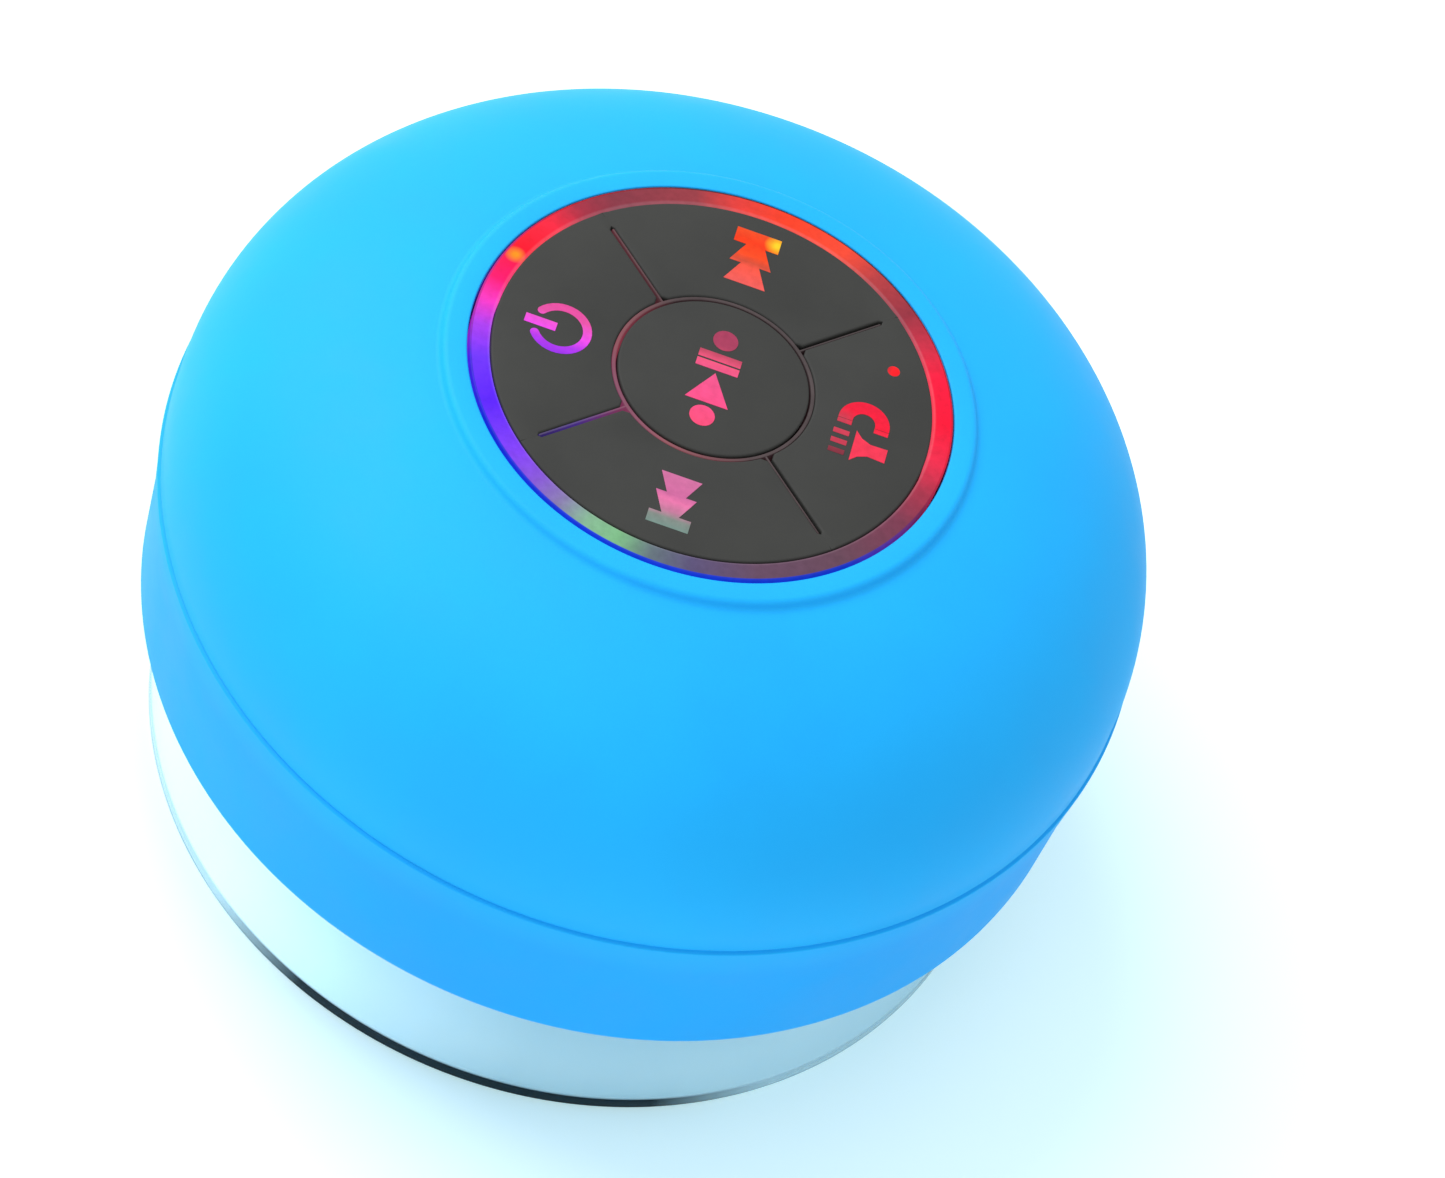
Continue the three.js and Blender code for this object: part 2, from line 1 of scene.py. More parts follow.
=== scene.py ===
"""Looks for the shower speaker: a soft blue body, a lit ring, a five-key pad and a clear suction cup.

Sizes are in millimetres until a mesh is made. The keys run along Y, +Z is up and the origin is the
middle of the suction cup's rim, as in the CAD frame.
"""

import json
import math

import bmesh
import bpy
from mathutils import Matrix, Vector


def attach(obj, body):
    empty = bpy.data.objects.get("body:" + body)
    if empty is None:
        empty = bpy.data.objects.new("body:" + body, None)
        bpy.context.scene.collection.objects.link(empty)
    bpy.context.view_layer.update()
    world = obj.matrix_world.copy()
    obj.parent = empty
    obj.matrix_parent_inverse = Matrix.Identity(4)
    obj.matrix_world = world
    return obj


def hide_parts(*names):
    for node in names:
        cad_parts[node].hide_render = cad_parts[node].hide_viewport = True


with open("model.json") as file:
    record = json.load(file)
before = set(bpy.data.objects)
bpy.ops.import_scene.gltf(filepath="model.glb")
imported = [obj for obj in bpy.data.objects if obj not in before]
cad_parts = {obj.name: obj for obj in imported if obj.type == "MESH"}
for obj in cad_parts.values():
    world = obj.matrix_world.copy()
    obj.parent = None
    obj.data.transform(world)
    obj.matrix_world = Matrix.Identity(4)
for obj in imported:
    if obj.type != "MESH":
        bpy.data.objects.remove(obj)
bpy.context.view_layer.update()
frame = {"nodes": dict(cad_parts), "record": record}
scene = bpy.context.scene

# ---- Sizes, millimetres ---------------------------------------------------------------------------
MM = 0.001
ROUND_SIDES = 240                # on a large round piece
FILLET_STEPS = 6
EDGE_STEPS = 4                   # across the rounded upper edge of a plate
MITRE_LIMIT = 0.4                # keeps the inset of a sharp corner short

# The sleeve. The dome's section is a superellipse: full at the shoulder and nearly flat on top.
BODY_R = 43.0
SEAM_Z = 32.0
DOME_R = 42.6
DOME_BASE_Z = 33.0
DOME_RISE = 19.2
DOME_POWER_R = 2 / 3.8
DOME_POWER_Z = 2 / 2.15
SLEEVE_WALL = 1.6
SLEEVE_BOTTOM_Z = 16.0
SLEEVE_INNER_R = 40.8
FOOT_OUTER_R = 42.35
FOOT_INNER_R = 38.0              # the foot turns in under the case
FOOT_TOP_Z = 17.4
BAND_MIDDLE = (42.5, 25.4)       # the band below the seam leans out a little as it rises
BAND_TOP = (42.8, 30.0)
COLLAR_OUTER_R = 22.7
COLLAR_INNER_R = 20.57
COLLAR_Z = 52.0
COLLAR_FOOT_Z = 51.3             # where the dome meets the collar

# The light ring and the keys
TOP_Z = 52.1
RING_OUTER_R = 20.42
RING_INNER_R = 18.74
RING_BOTTOM_Z = 50.6
KEY_OUTER_R = 18.66
KEY_INNER_R = 8.6
PLAY_KEY_R = 8.1
KEY_BOTTOM_Z = 51.0
KEY_EDGE = 0.2                   # rounding of the key tops' edges
KEY_CORNER = 0.45                # the inner corners of the outer keys are cut back by this
KEY_CORNER_ANGLE = 3.2           # and by this many degrees along the inner edge
GROOVE_HALF = 0.2
GROOVE_END_R = 17.0              # beyond this radius two keys nearly touch
HAIRLINE_HALF = 0.002

# The web under the keys, with a rib in each groove
WEB_R = 20.2
WEB_BOTTOM_Z = 49.8
WEB_TOP_Z = 50.3
RIB_SIDE = 0.19                  # each straight rib fills the groove's clockwise half
RIB_TOP_Z = 52.0
RIB_CIRCLE_INNER_R = 8.24        # the round rib leaves a dark line beside the play key
RIB_CIRCLE_OUTER_R = 8.57
OVERLAP = 0.1                    # how far a rib runs into its neighbour

# The back plate, with a boss for the cup's stem and a baffle round the sound slots
SHELL_R = 40.5
SHELL_INNER_R = 38.5
SHELL_TOP_Z = 31.05
PLATE_R = 37.6
PLATE_Z = 16.3
PLATE_TOP_Z = 18.3
SLEEVE_STEP_Z = 17.7             # the sleeve's foot lies below this step
BAFFLE_OUTER_R = 21.2
BAFFLE_INNER_R = 19.6
BOSS_R = 10.0
BOSS_TOP_Z = 24.1
STEM_BORE_R = 6.9
STEM_BORE_TOP_Z = 22.8
SNAP_GROOVE_R = 8.0
SNAP_GROOVE_LOW_Z = 19.0
SNAP_GROOVE_HIGH_Z = 21.4
SNAP_RING_R = 7.7
SNAP_RING_INNER_R = 6.8
SNAP_RING_LOW_Z = 19.3
SNAP_RING_HIGH_Z = 21.1
SLOT_COUNT = 16
SLOT_HALF = 0.9
SLOT_NEAR_R = 11.9
SLOT_FAR_R = 17.5
SHELL_SCREW_R = 34.4             # from the middle to each case screw
SCREW_HOLE_R = 1.8
SCREW_HEAD_R = 2.6
SCREW_SHANK_R = 1.3
SCREW_LOW_Z = 14.9
SCREW_HEAD_TOP_Z = 16.2
SCREW_HIGH_Z = 24.0
CROSS_REACH = 1.4                # the cross recess, half its length and half its width
CROSS_HALF = 0.3
CROSS_TOP_Z = 15.6

# The suction cup
CUP_R = 39.4
CUP_LIP_R = 36.8
CUP_NECK_R = 6.5
CUP_NECK_TOP_Z = 22.4

# The charging port on the +Y side, and the flap over it
PORT_Z = 23.4
PORT_OPENING_HALF_WIDTH = 5.2    # of the hole in the case behind the flap
PORT_OPENING_HALF_HEIGHT = 2.2
SOCKET_BACK_Y = 34.5
SOCKET_MOUTH_Y = 40.0
SOCKET_HALF_WIDTH = 3.9
SOCKET_HALF_HEIGHT = 1.3
SOCKET_WALL = 0.4
TONGUE_HALF_WIDTH = 2.6
COVER_HALF_WIDTH = 6.0
COVER_BOTTOM_Z = 19.6
COVER_TOP_Z = 27.0
COVER_GAP = 0.3
COVER_INNER_R = 40.85
COVER_OUTER_R = 42.45
LIP_HALF_WIDTH = 3.2
LIP_INNER_R = 42.2


# ---- Mesh tools -----------------------------------------------------------------------------------
def add_mesh(name, vertices, faces, material, body=None, slot=None, smooth=True):
    """A mesh object from millimetre vertices. It rides on a body if one is given."""
    mesh = bpy.data.meshes.new(name)
    mesh.from_pydata([Vector(v) * MM for v in vertices], [], faces)
    mesh.validate()
    shape = bmesh.new()
    shape.from_mesh(mesh)
    bmesh.ops.recalc_face_normals(shape, faces=shape.faces)
    shape.to_mesh(mesh)
    shape.free()
    for polygon in mesh.polygons:
        polygon.use_smooth = smooth
    piece = bpy.data.objects.new(name, mesh)
    scene.collection.objects.link(piece)
    piece.data.materials.append(material)
    if body:
        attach(piece, body)
    return piece


def auto_smooth(piece, degrees=40):
    """Marks edges sharper than the angle, so flat faces stay flat."""
    mesh = piece.data
    shape = bmesh.new()
    shape.from_mesh(mesh)
    limit = math.radians(degrees)
    for edge in shape.edges:
        if len(edge.link_faces) == 2:
            edge.smooth = edge.calc_face_angle(0.0) < limit
    shape.to_mesh(mesh)
    shape.free()


def fillet(corners):
    """Rounds a closed outline. Each corner is (r, z) or (r, z, fillet radius)."""
    points = []
    count = len(corners)
    for i, corner in enumerate(corners):
        here = Vector(corner[:2])
        radius = corner[2] if len(corner) > 2 else 0.0
        if radius == 0.0:
            points.append(here)
            continue
        before = (Vector(corners[i - 1][:2]) - here).normalized()
        after = (Vector(corners[(i + 1) % count][:2]) - here).normalized()
        half = before.angle(after) / 2
        reach = radius / math.tan(half)
        start = here + before * reach
        end = here + after * reach
        middle = here + (before + after).normalized() * (radius / math.sin(half))
        first = start - middle
        sweep = first.angle_signed(end - middle)
        for k in range(FILLET_STEPS + 1):
            turn = -sweep * k / FILLET_STEPS
            spun = Vector((
                first.x * math.cos(turn) - first.y * math.sin(turn),
                first.x * math.sin(turn) + first.y * math.cos(turn),
            ))
            points.append(middle + spun)
    return points


def revolve(outline, sides=ROUND_SIDES, closed=True, centre=(0, 0)):
    """Vertices and faces of an outline of (r, z) turned about Z. Points on the axis are shared."""
    vertices = []
    rings = []
    for r, z in outline:
        if abs(r) < 1e-6:
            rings.append([len(vertices)] * sides)
            vertices.append((centre[0], centre[1], z))
            continue
        rings.append(list(range(len(vertices), len(vertices) + sides)))
        for k in range(sides):
            angle = 2 * math.pi * k / sides
            vertices.append((centre[0] + r * math.cos(angle), centre[1] + r * math.sin(angle), z))
    faces = []
    last = len(outline) if closed else len(outline) - 1
    for i in range(last):
        low = rings[i]
        high = rings[(i + 1) % len(outline)]
        for k in range(sides):
            m = (k + 1) % sides
            face = []
            for v in (low[k], low[m], high[m], high[k]):
                if v not in face:
                    face.append(v)
            if len(face) > 2:
                faces.append(face)
    return vertices, faces


def prism(outline, z_low, z_high, round_by=0.0, round_at=None):
    """A flat plate with its upper edge rounded. round_at gives each point's own share of round_by."""
    count = len(outline)
    points = [Vector(p) for p in outline]
    area = sum(points[i].cross(points[(i + 1) % count]) for i in range(count))
    side = 1 if area > 0 else -1
    inward = []
    for i in range(count):
        a = (points[i] - points[i - 1]).normalized()
        b = (points[(i + 1) % count] - points[i]).normalized()
        normal_a = Vector((-a.y, a.x)) * side
        normal_b = Vector((-b.y, b.x)) * side
        mean = (normal_a + normal_b).normalized()
        inward.append(mean / max(mean.dot(normal_a), MITRE_LIMIT))
    share = round_at or [1.0] * count
    levels = [(0.0, z_low)]
    if round_by > 0:
        for k in range(EDGE_STEPS + 1):
            turn = math.pi / 2 * k / EDGE_STEPS
            levels.append((round_by * (1 - math.cos(turn)), round_by * (math.sin(turn) - 1)))
    else:
        levels.append((0.0, 0.0))
    vertices = []
    for level, (inset, drop) in enumerate(levels):
        for i in range(count):
            flat = points[i] + inward[i] * inset * share[i]
            z = z_low if level == 0 else z_high + drop * share[i]
            vertices.append((flat.x, flat.y, z))
    faces = []
    for level in range(len(levels) - 1):
        base = level * count
        for i in range(count):
            j = (i + 1) % count
            faces.append((base + i, base + j, base + count + j, base + count + i))
    faces.append(tuple(range(count)))
    top = (len(levels) - 1) * count
    faces.append(tuple(range(top, top + count)))
    return vertices, faces


def join_meshes(parts):
    """Joins several (vertices, faces) pairs into one."""
    vertices = []
    faces = []
    for some_vertices, some_faces in parts:
        base = len(vertices)
        vertices.extend(some_vertices)
        faces.extend([tuple(base + v for v in face) for face in some_faces])
    return vertices, faces


def arc(centre, radius, start, end, steps):
    """Points on an arc, angles in degrees."""
    points = []
    for k in range(steps + 1):
        angle = math.radians(start + (end - start) * k / max(steps, 1))
        points.append((centre[0] + radius * math.cos(angle), centre[1] + radius * math.sin(angle)))
    return points


def circle(centre, radius, sides=24):
    return arc(centre, radius, 0, 360 - 360 / sides, sides - 1)


def rectangle(x0, x1, y0, y1):
    return [(x0, y0), (x1, y0), (x1, y1), (x0, y1)]


def rounded_rectangle(half_width, low, high, corner):
    return fillet([(x, y, corner) for x, y in rectangle(-half_width, half_width, low, high)])


def turned(points, degrees):
    c = math.cos(math.radians(degrees))
    s = math.sin(math.radians(degrees))
    return [(x * c - y * s, x * s + y * c) for x, y in points]


def upright(plate):
    """Stands a plate drawn in X and Y and raised along Z, so that it lies in X and Z along Y."""
    vertices, faces = plate
    return [(x, z, y) for x, y, z in vertices], faces


def box_shape(x0, x1, y0, y1, z0, z1):
    return prism(rectangle(x0, x1, y0, y1), z0, z1)


def cut(piece, vertices, faces):
    """Subtracts a closed shape from a piece and applies it."""
    cutter = add_mesh("cutter", vertices, faces, piece.data.materials[0], smooth=False)
    boolean = piece.modifiers.new("cut", "BOOLEAN")
    boolean.object = cutter
    boolean.operation = "DIFFERENCE"
    boolean.solver = "EXACT"
    depsgraph = bpy.context.evaluated_depsgraph_get()
    result = bpy.data.meshes.new_from_object(piece.evaluated_get(depsgraph))
    piece.modifiers.clear()
    piece.data = result
    bpy.data.objects.remove(cutter)


# ---- Node tools -----------------------------------------------------------------------------------
NOISE_LOW = 0.3                  # nearly all of a noise lies between these two
NOISE_HIGH = 0.7
WAVE_PITCH = 0.314               # metres from band to band of a wave texture of scale 1


def linear(rgb):
    """An sRGB colour from 0 to 255 as the linear colour that shaders take."""
    out = []
    for value in rgb:
        v = value / 255
        out.append(v / 12.92 if v <= 0.04045 else ((v + 0.055) / 1.055) ** 2.4)
    return (*out, 1.0)


def new_material(name):
    material = bpy.data.materials.new(name)
    material.use_nodes = True
    tree = material.node_tree
    shader = tree.nodes["Principled BSDF"]
    return material, tree, shader


def object_vector(tree):
    return tree.nodes.new("ShaderNodeTexCoord").outputs["Object"]


def object_axes(tree):
    """The object coordinates as separate X, Y and Z."""
    split = tree.nodes.new("ShaderNodeSeparateXYZ")
    tree.links.new(object_vector(tree), split.inputs["Vector"])
    return split.outputs


def noise(tree, scale, detail=4.0):
    """A noise texture on object coordinates. Scale counts features per metre."""
    texture = tree.nodes.new("ShaderNodeTexNoise")
    texture.inputs["Scale"].default_value = scale
    texture.inputs["Detail"].default_value = detail
    texture.inputs["Roughness"].default_value = 0.55
    tree.links.new(object_vector(tree), texture.inputs["Vector"])
    return texture.outputs["Fac"]


def ramp(tree, source, stops):
    """A colour ramp. Each stop is a place from 0 to 1 and an sRGB colour."""
    node = tree.nodes.new("ShaderNodeValToRGB")
    elements = node.color_ramp.elements
    while len(elements) > 1:
        elements.remove(elements[0])
    elements[0].position = stops[0][0]
    elements[0].color = linear(stops[0][1])
    for position, rgb in stops[1:]:
        element = elements.new(position)
        element.color = linear(rgb)
    tree.links.new(source, node.inputs["Fac"])
    return node.outputs["Color"]


def map_range(tree, value, low, high, out_low=0.0, out_high=1.0):
    node = tree.nodes.new("ShaderNodeMapRange")
    node.inputs["From Min"].default_value = low
    node.inputs["From Max"].default_value = high
    node.inputs["To Min"].default_value = out_low
    node.inputs["To Max"].default_value = out_high
    tree.links.new(value, node.inputs["Value"])
    return node.outputs["Result"]


def spread(tree, source, low, high):
    """Spreads a noise over a range."""
    return map_range(tree, source, NOISE_LOW, NOISE_HIGH, low, high)


def two_tone(tree, scale, dark, light):
    """Two close sRGB tones in soft patches."""
    return ramp(tree, noise(tree, scale), [(NOISE_LOW, dark), (NOISE_HIGH, light)])


def combine(tree, operation, first, second):
    """A Math node on two outputs."""
    node = tree.nodes.new("ShaderNodeMath")
    node.operation = operation
    tree.links.new(first, node.inputs[0])
    tree.links.new(second, node.inputs[1])
    return node.outputs[0]


def scaled(tree, colour, factor):
    """A colour output times a number or an output."""
    node = tree.nodes.new("ShaderNodeVectorMath")
    node.operation = "SCALE"
    tree.links.new(colour, node.inputs[0])
    if isinstance(factor, float):
        node.inputs["Scale"].default_value = factor
    else:
        tree.links.new(factor, node.inputs["Scale"])
    return node.outputs["Vector"]


def radius_from(tree, vector, x_mm=0.0, y_mm=0.0):
    """Distance in metres from an upright line."""
    flat = tree.nodes.new("ShaderNodeVectorMath")
    flat.operation = "MULTIPLY_ADD"
    flat.inputs[1].default_value = (1, 1, 0)
    flat.inputs[2].default_value = (-x_mm * MM, -y_mm * MM, 0)
    tree.links.new(vector, flat.inputs[0])
    length = tree.nodes.new("ShaderNodeVectorMath")
    length.operation = "LENGTH"
    tree.links.new(flat.outputs["Vector"], length.inputs[0])
    return length.outputs["Value"]


def blend_colours(tree, factor, first, second):
    """first where factor is 0 and second where it is 1. Each is an sRGB colour or an output."""
    node = tree.nodes.new("ShaderNodeMix")
    node.data_type = "RGBA"
    tree.links.new(factor, node.inputs[0])
    for socket, value in ((node.inputs[6], first), (node.inputs[7], second)):
        if isinstance(value, tuple):
            socket.default_value = linear(value)
        else:
            tree.links.new(value, socket)
    return node.outputs[2]


def bump(tree, shader, height, distance_mm, strength=0.5):
    node = tree.nodes.new("ShaderNodeBump")
    node.inputs["Strength"].default_value = strength
    node.inputs["Distance"].default_value = distance_mm * MM
    tree.links.new(height, node.inputs["Height"])
    tree.links.new(node.outputs["Normal"], shader.inputs["Normal"])


# ---- Materials ------------------------------------------------------------------------------------
def moulded(name, dark, light, rough, grain=2200, depth=0.02, metallic=0.0, specular=0.5):
    """Moulded plastic, rubber or metal: two close tones in patches, a fine grain and uneven gloss."""
    patches = 60                 # per metre
    material, tree, shader = new_material(name)
    tree.links.new(two_tone(tree, patches, dark, light), shader.inputs["Base Color"])
    gloss = spread(tree, noise(tree, patches * 3), rough - 0.05, rough + 0.05)
    tree.links.new(gloss, shader.inputs["Roughness"])
    shader.inputs["Metallic"].default_value = metallic
    shader.inputs["Specular IOR Level"].default_value = specular
    bump(tree, shader, noise(tree, grain, 2.0), depth)
    return material


def woven(name, dark, light, pitch_mm):
    """Fine cloth: two crossed wave patterns."""
    material, tree, shader = new_material(name)
    waves = []
    for direction in ("X", "Y"):
        wave = tree.nodes.new("ShaderNodeTexWave")
        wave.bands_direction = direction
        wave.inputs["Scale"].default_value = WAVE_PITCH / (pitch_mm * MM)
        wave.inputs["Distortion"].default_value = 0.4
        tree.links.new(object_vector(tree), wave.inputs["Vector"])
        waves.append(wave.outputs["Fac"])
    weave = combine(tree, "MULTIPLY", *waves)
    tree.links.new(ramp(tree, weave, [(0.1, dark), (0.8, light)]), shader.inputs["Base Color"])
    shader.inputs["Roughness"].default_value = 0.9
    bump(tree, shader, weave, 0.1)
    return material


def blue_silicone():
    """Soft matt blue. The band below the seam is painted a little deeper, painted shade for the less
    light that reaches it.
    """
    material, tree, shader = new_material("blue_silicone")
    dome_colour = two_tone(tree, 35, (12, 158, 230), (18, 168, 238))
    # Painted shade: the lower band gets less light, so it is painted a deeper blue than the dome.
    band_shaded_colour = two_tone(tree, 35, (6, 148, 228), (9, 157, 236))
    height = object_axes(tree)["Z"]
    band = map_range(tree, height, (SEAM_Z - 4) * MM, (SEAM_Z + 1) * MM, 1.0, 0.0)
    tree.links.new(blend_colours(tree, band, dome_colour, band_shaded_colour), shader.inputs["Base Color"])
    tree.links.new(spread(tree, noise(tree, 140), 0.55, 0.65), shader.inputs["Roughness"])
    shader.inputs["Specular IOR Level"].default_value = 0.2
    shader.inputs["Subsurface Weight"].default_value = 0.08
    shader.inputs["Subsurface Radius"].default_value = (0.3, 0.8, 1.0)
    shader.inputs["Subsurface Scale"].default_value = 0.0015
    bump(tree, shader, noise(tree, 2600, 2.0), 0.012)
    return material


def add_spot(tree, vector, colour, spot):
    """Blends in a soft round spot: its x, y and radius in millimetres, and its colour."""
    x_mm, y_mm, size_mm, rgb = spot
    distance = radius_from(tree, vector, x_mm, y_mm)
    near = map_range(tree, distance, 0.2 * size_mm * MM, size_mm * MM, 1.0, 0.0)
    return blend_colours(tree, near, colour, rgb)


def glow(name, source_axis, low_mm, high_mm, stops, spot=None):
    """A lit diffuser whose colour runs along one axis, with a slight mottle from the moulding."""
    material, tree, shader = new_material(name)
    vector = object_vector(tree)
    axes = object_axes(tree)
    place = map_range(tree, axes[source_axis], low_mm * MM, high_mm * MM)
    colour = ramp(tree, place, stops)
    if spot:
        colour = add_spot(tree, vector, colour, spot)
    finish_glow(tree, shader, colour)
    return material


def finish_glow(tree, shader, colour):
    """Nearly all the colour is emitted light, a little brighter and darker over the moulding."""
    mottle = spread(tree, noise(tree, 1400, 3.0), 0.88, 1.06)
    tree.links.new(scaled(tree, colour, mottle), shader.inputs["Emission Color"])
    tree.links.new(scaled(tree, colour, 0.05), shader.inputs["Base Color"])
    shader.inputs["Emission Strength"].default_value = 1.0
    shader.inputs["Roughness"].default_value = 0.45
    shader.inputs["Specular IOR Level"].default_value = 0.12
    bump(tree, shader, noise(tree, 900, 2.0), 0.02)


def clear_silicone():
    """Clear soft plastic. Its -X side has a painted glow, emitted light that stands in for the light it
    gathers there. The thick face of the lip is painted dark, painted shade for the dark seen through
    the clear edge, most of all on the side away from the port."""
    material, tree, shader = new_material("clear_silicone")
    vector = object_vector(tree)
    axes = object_axes(tree)
    radius = radius_from(tree, vector)
    # Painted shade on the lip: its thick outer face is painted near black and nearly opaque, standing
    # in for the dark seen through the clear edge, strongest on the -Y side away from the port.
    rim = map_range(tree, radius, (CUP_R - 0.2) * MM, (CUP_R - 0.06) * MM)
    away = map_range(tree, axes["Y"], -36 * MM, -30 * MM, 1.0, 0.4)
    painted_edge_shade = combine(tree, "MULTIPLY", rim, away)
    tone = two_tone(tree, 60, (172, 212, 232), (192, 226, 240))
    # (6, 22, 32) is the painted shade of the lip's edge.
    tree.links.new(blend_colours(tree, painted_edge_shade, tone, (6, 22, 32)), shader.inputs["Base Color"])
    thin = map_range(tree, painted_edge_shade, 0, 1, 0.24, 0.97)
    thick_middle = map_range(tree, radius, 8 * MM, 24 * MM, 0.3, 0.0)
    tree.links.new(combine(tree, "ADD", thin, thick_middle), shader.inputs["Alpha"])
    tree.links.new(map_range(tree, painted_edge_shade, 0, 1, 0.5, 0.04), shader.inputs["Specular IOR Level"])
    tree.links.new(spread(tree, noise(tree, 200), 0.06, 0.12), shader.inputs["Roughness"])
    shader.inputs["IOR"].default_value = 1.41
    # Painted light: a pale emitted glow over the -X side, off the rim, stands in for the light the
    # clear plastic gathers there.
    shader.inputs["Emission Color"].default_value = linear((214, 244, 250))
    painted_glow_side = map_range(tree, axes["X"], -26 * MM, 4 * MM, 0.85, 0.0)
    off_rim = map_range(tree, rim, 0, 1, 1.0, 0.0)
    tree.links.new(combine(tree, "MULTIPLY", painted_glow_side, off_rim), shader.inputs["Emission Strength"])
    bump(tree, shader, noise(tree, 160, 2.0), 0.05, 0.3)
    return material


RING_COLOURS = [                 # degrees from +X towards +Y, and the colour there
    (-180, (250, 50, 190)), (-172, (172, 58, 236)), (-162, (112, 48, 252)), (-148, (90, 22, 252)),
    (-132, (130, 62, 244)), (-124, (132, 82, 212)), (-116, (134, 120, 172)), (-108, (132, 182, 146)),
    (-100, (124, 186, 134)), (-92, (100, 116, 124)), (-82, (90, 80, 120)), (-66, (100, 72, 96)),
    (-44, (102, 68, 86)), (-24, (124, 56, 80)), (-12, (172, 48, 74)), (-3, (236, 40, 76)),
    (10, (250, 4, 52)), (24, (252, 16, 62)), (34, (206, 44, 70)), (45, (152, 48, 64)),
    (58, (184, 60, 64)), (68, (250, 74, 50)), (84, (250, 62, 30)), (98, (228, 60, 56)),
    (108, (154, 58, 68)), (130, (134, 52, 68)), (140, (168, 44, 66)), (149, (250, 34, 64)),
    (161, (252, 2, 40)), (173, (252, 6, 112)), (180, (250, 50, 190)),
]
# The ring's outer wall is painted light and shade: deep blue painted light on the -Y half, and painted
# shade of the gap between ring and sleeve where it is dark, mostly on the +Y side.
RING_WALL_PAINTED_LIGHT_AND_SHADE = [            # once round the outer wall from -X, as a share of the turn
    (0.0, (190, 34, 150)), (0.05, (70, 30, 220)), (0.1, (24, 40, 214)), (0.22, (18, 56, 214)),
    (0.38, (20, 50, 190)), (0.45, (110, 30, 70)), (0.5, (220, 16, 50)), (0.58, (190, 18, 44)),
    (0.64, (60, 16, 20)), (0.8, (60, 20, 26)), (0.9, (200, 16, 36)), (1.0, (190, 34, 150)),
]
RING_HOT_SPOT = (-18.75, 5.5, 0.95, (255, 150, 20))


def ring_glow():
    """The ring's colours, which blend from one light to the next along it. A pale line runs along its
    inner edge. Its outer wall carries painted light and shade: deep blue painted light on the -Y half
    and painted shade of the gap on most of the other."""
    material, tree, shader = new_material("ring_diffuser")
    vector = object_vector(tree)
    axes = object_axes(tree)
    radius = radius_from(tree, vector)
    angle = combine(tree, "ARCTAN2", axes["Y"], axes["X"])
    place = map_range(tree, angle, -math.pi, math.pi)
    colour = ramp(tree, place, [((degrees + 180) / 360, rgb) for degrees, rgb in RING_COLOURS])
    colour = add_spot(tree, vector, colour, RING_HOT_SPOT)
    line_low = (RING_INNER_R + 0.05) * MM
    line_high = (RING_INNER_R + 0.25) * MM
    inner_line = map_range(tree, radius, line_low, line_high, 0.08, 0.0)
    colour = blend_colours(tree, inner_line, colour, (250, 220, 235))
    # The outer wall takes painted light and shade: deep blue painted light on the -Y half, painted gap
    # shade on most of the +Y half.
    wall = map_range(tree, radius, (RING_OUTER_R - 0.2) * MM, (RING_OUTER_R - 0.12) * MM)
    colour = blend_colours(tree, wall, colour, ramp(tree, place, RING_WALL_PAINTED_LIGHT_AND_SHADE))
    finish_glow(tree, shader, colour)
    return material


LEAK_DIRECTION = (-0.8, -0.6)    # towards the corner between the power and next keys
LEAK_FROM = -9                   # millimetres that way from the pad's middle
LEAK_TO = 17
LEAK_COLOURS = [
    (0.0, (22, 10, 12)), (0.35, (40, 20, 24)), (0.6, (142, 58, 74)),
    (0.7, (128, 52, 96)), (0.85, (70, 40, 140)), (1.0, (40, 26, 96)),
]


def web_rubber():
    """The web under the keys. Light leaks up the grooves, pink by the power and next keys."""
    material, tree, shader = new_material("web_rubber")
    tree.links.new(two_tone(tree, 300, (50, 44, 45), (66, 58, 59)), shader.inputs["Base Color"])
    shader.inputs["Roughness"].default_value = 0.7
    shader.inputs["Specular IOR Level"].default_value = 0.25
    toward = tree.nodes.new("ShaderNodeVectorMath")
    toward.operation = "DOT_PRODUCT"
    toward.inputs[1].default_value = (LEAK_DIRECTION[0] / MM, LEAK_DIRECTION[1] / MM, 0)
    tree.links.new(object_vector(tree), toward.inputs[0])
    place = map_range(tree, toward.outputs["Value"], LEAK_FROM, LEAK_TO)
    tree.links.new(ramp(tree, place, LEAK_COLOURS), shader.inputs["Emission Color"])
    shader.inputs["Emission Strength"].default_value = 0.8
    bump(tree, shader, noise(tree, 2200, 2.0), 0.02)
    return material


BLUE = blue_silicone()
CLEAR = clear_silicone()
RING = ring_glow()
KEY = moulded("key_rubber", (44, 45, 44), (51, 52, 50), 0.66, 3000, specular=0.22)
WEB = web_rubber()
SHELL = moulded("shell_plastic", (24, 120, 172), (34, 138, 190), 0.42, 1800, 0.03)
RUBBER = moulded("black_rubber", (24, 24, 26), (36, 36, 38), 0.65)
BOARD = moulded("board_laminate", (18, 82, 44), (30, 104, 60), 0.4, 900, 0.03)
STEEL = moulded("plated_steel", (176, 178, 182), (206, 208, 212), 0.28, 1500, 0.01, metallic=1.0)
PLASTIC = moulded("black_plastic", (18, 18, 20), (32, 32, 34), 0.45)
LED = moulded("led_resin", (238, 232, 214), (250, 247, 236), 0.2)
FERRITE = moulded("ferrite", (44, 44, 48), (66, 66, 70), 0.5, 2500, 0.05, metallic=0.3)
PULP = moulded("cone_pulp", (28, 28, 30), (46, 46, 48), 0.85, 1600, 0.08)
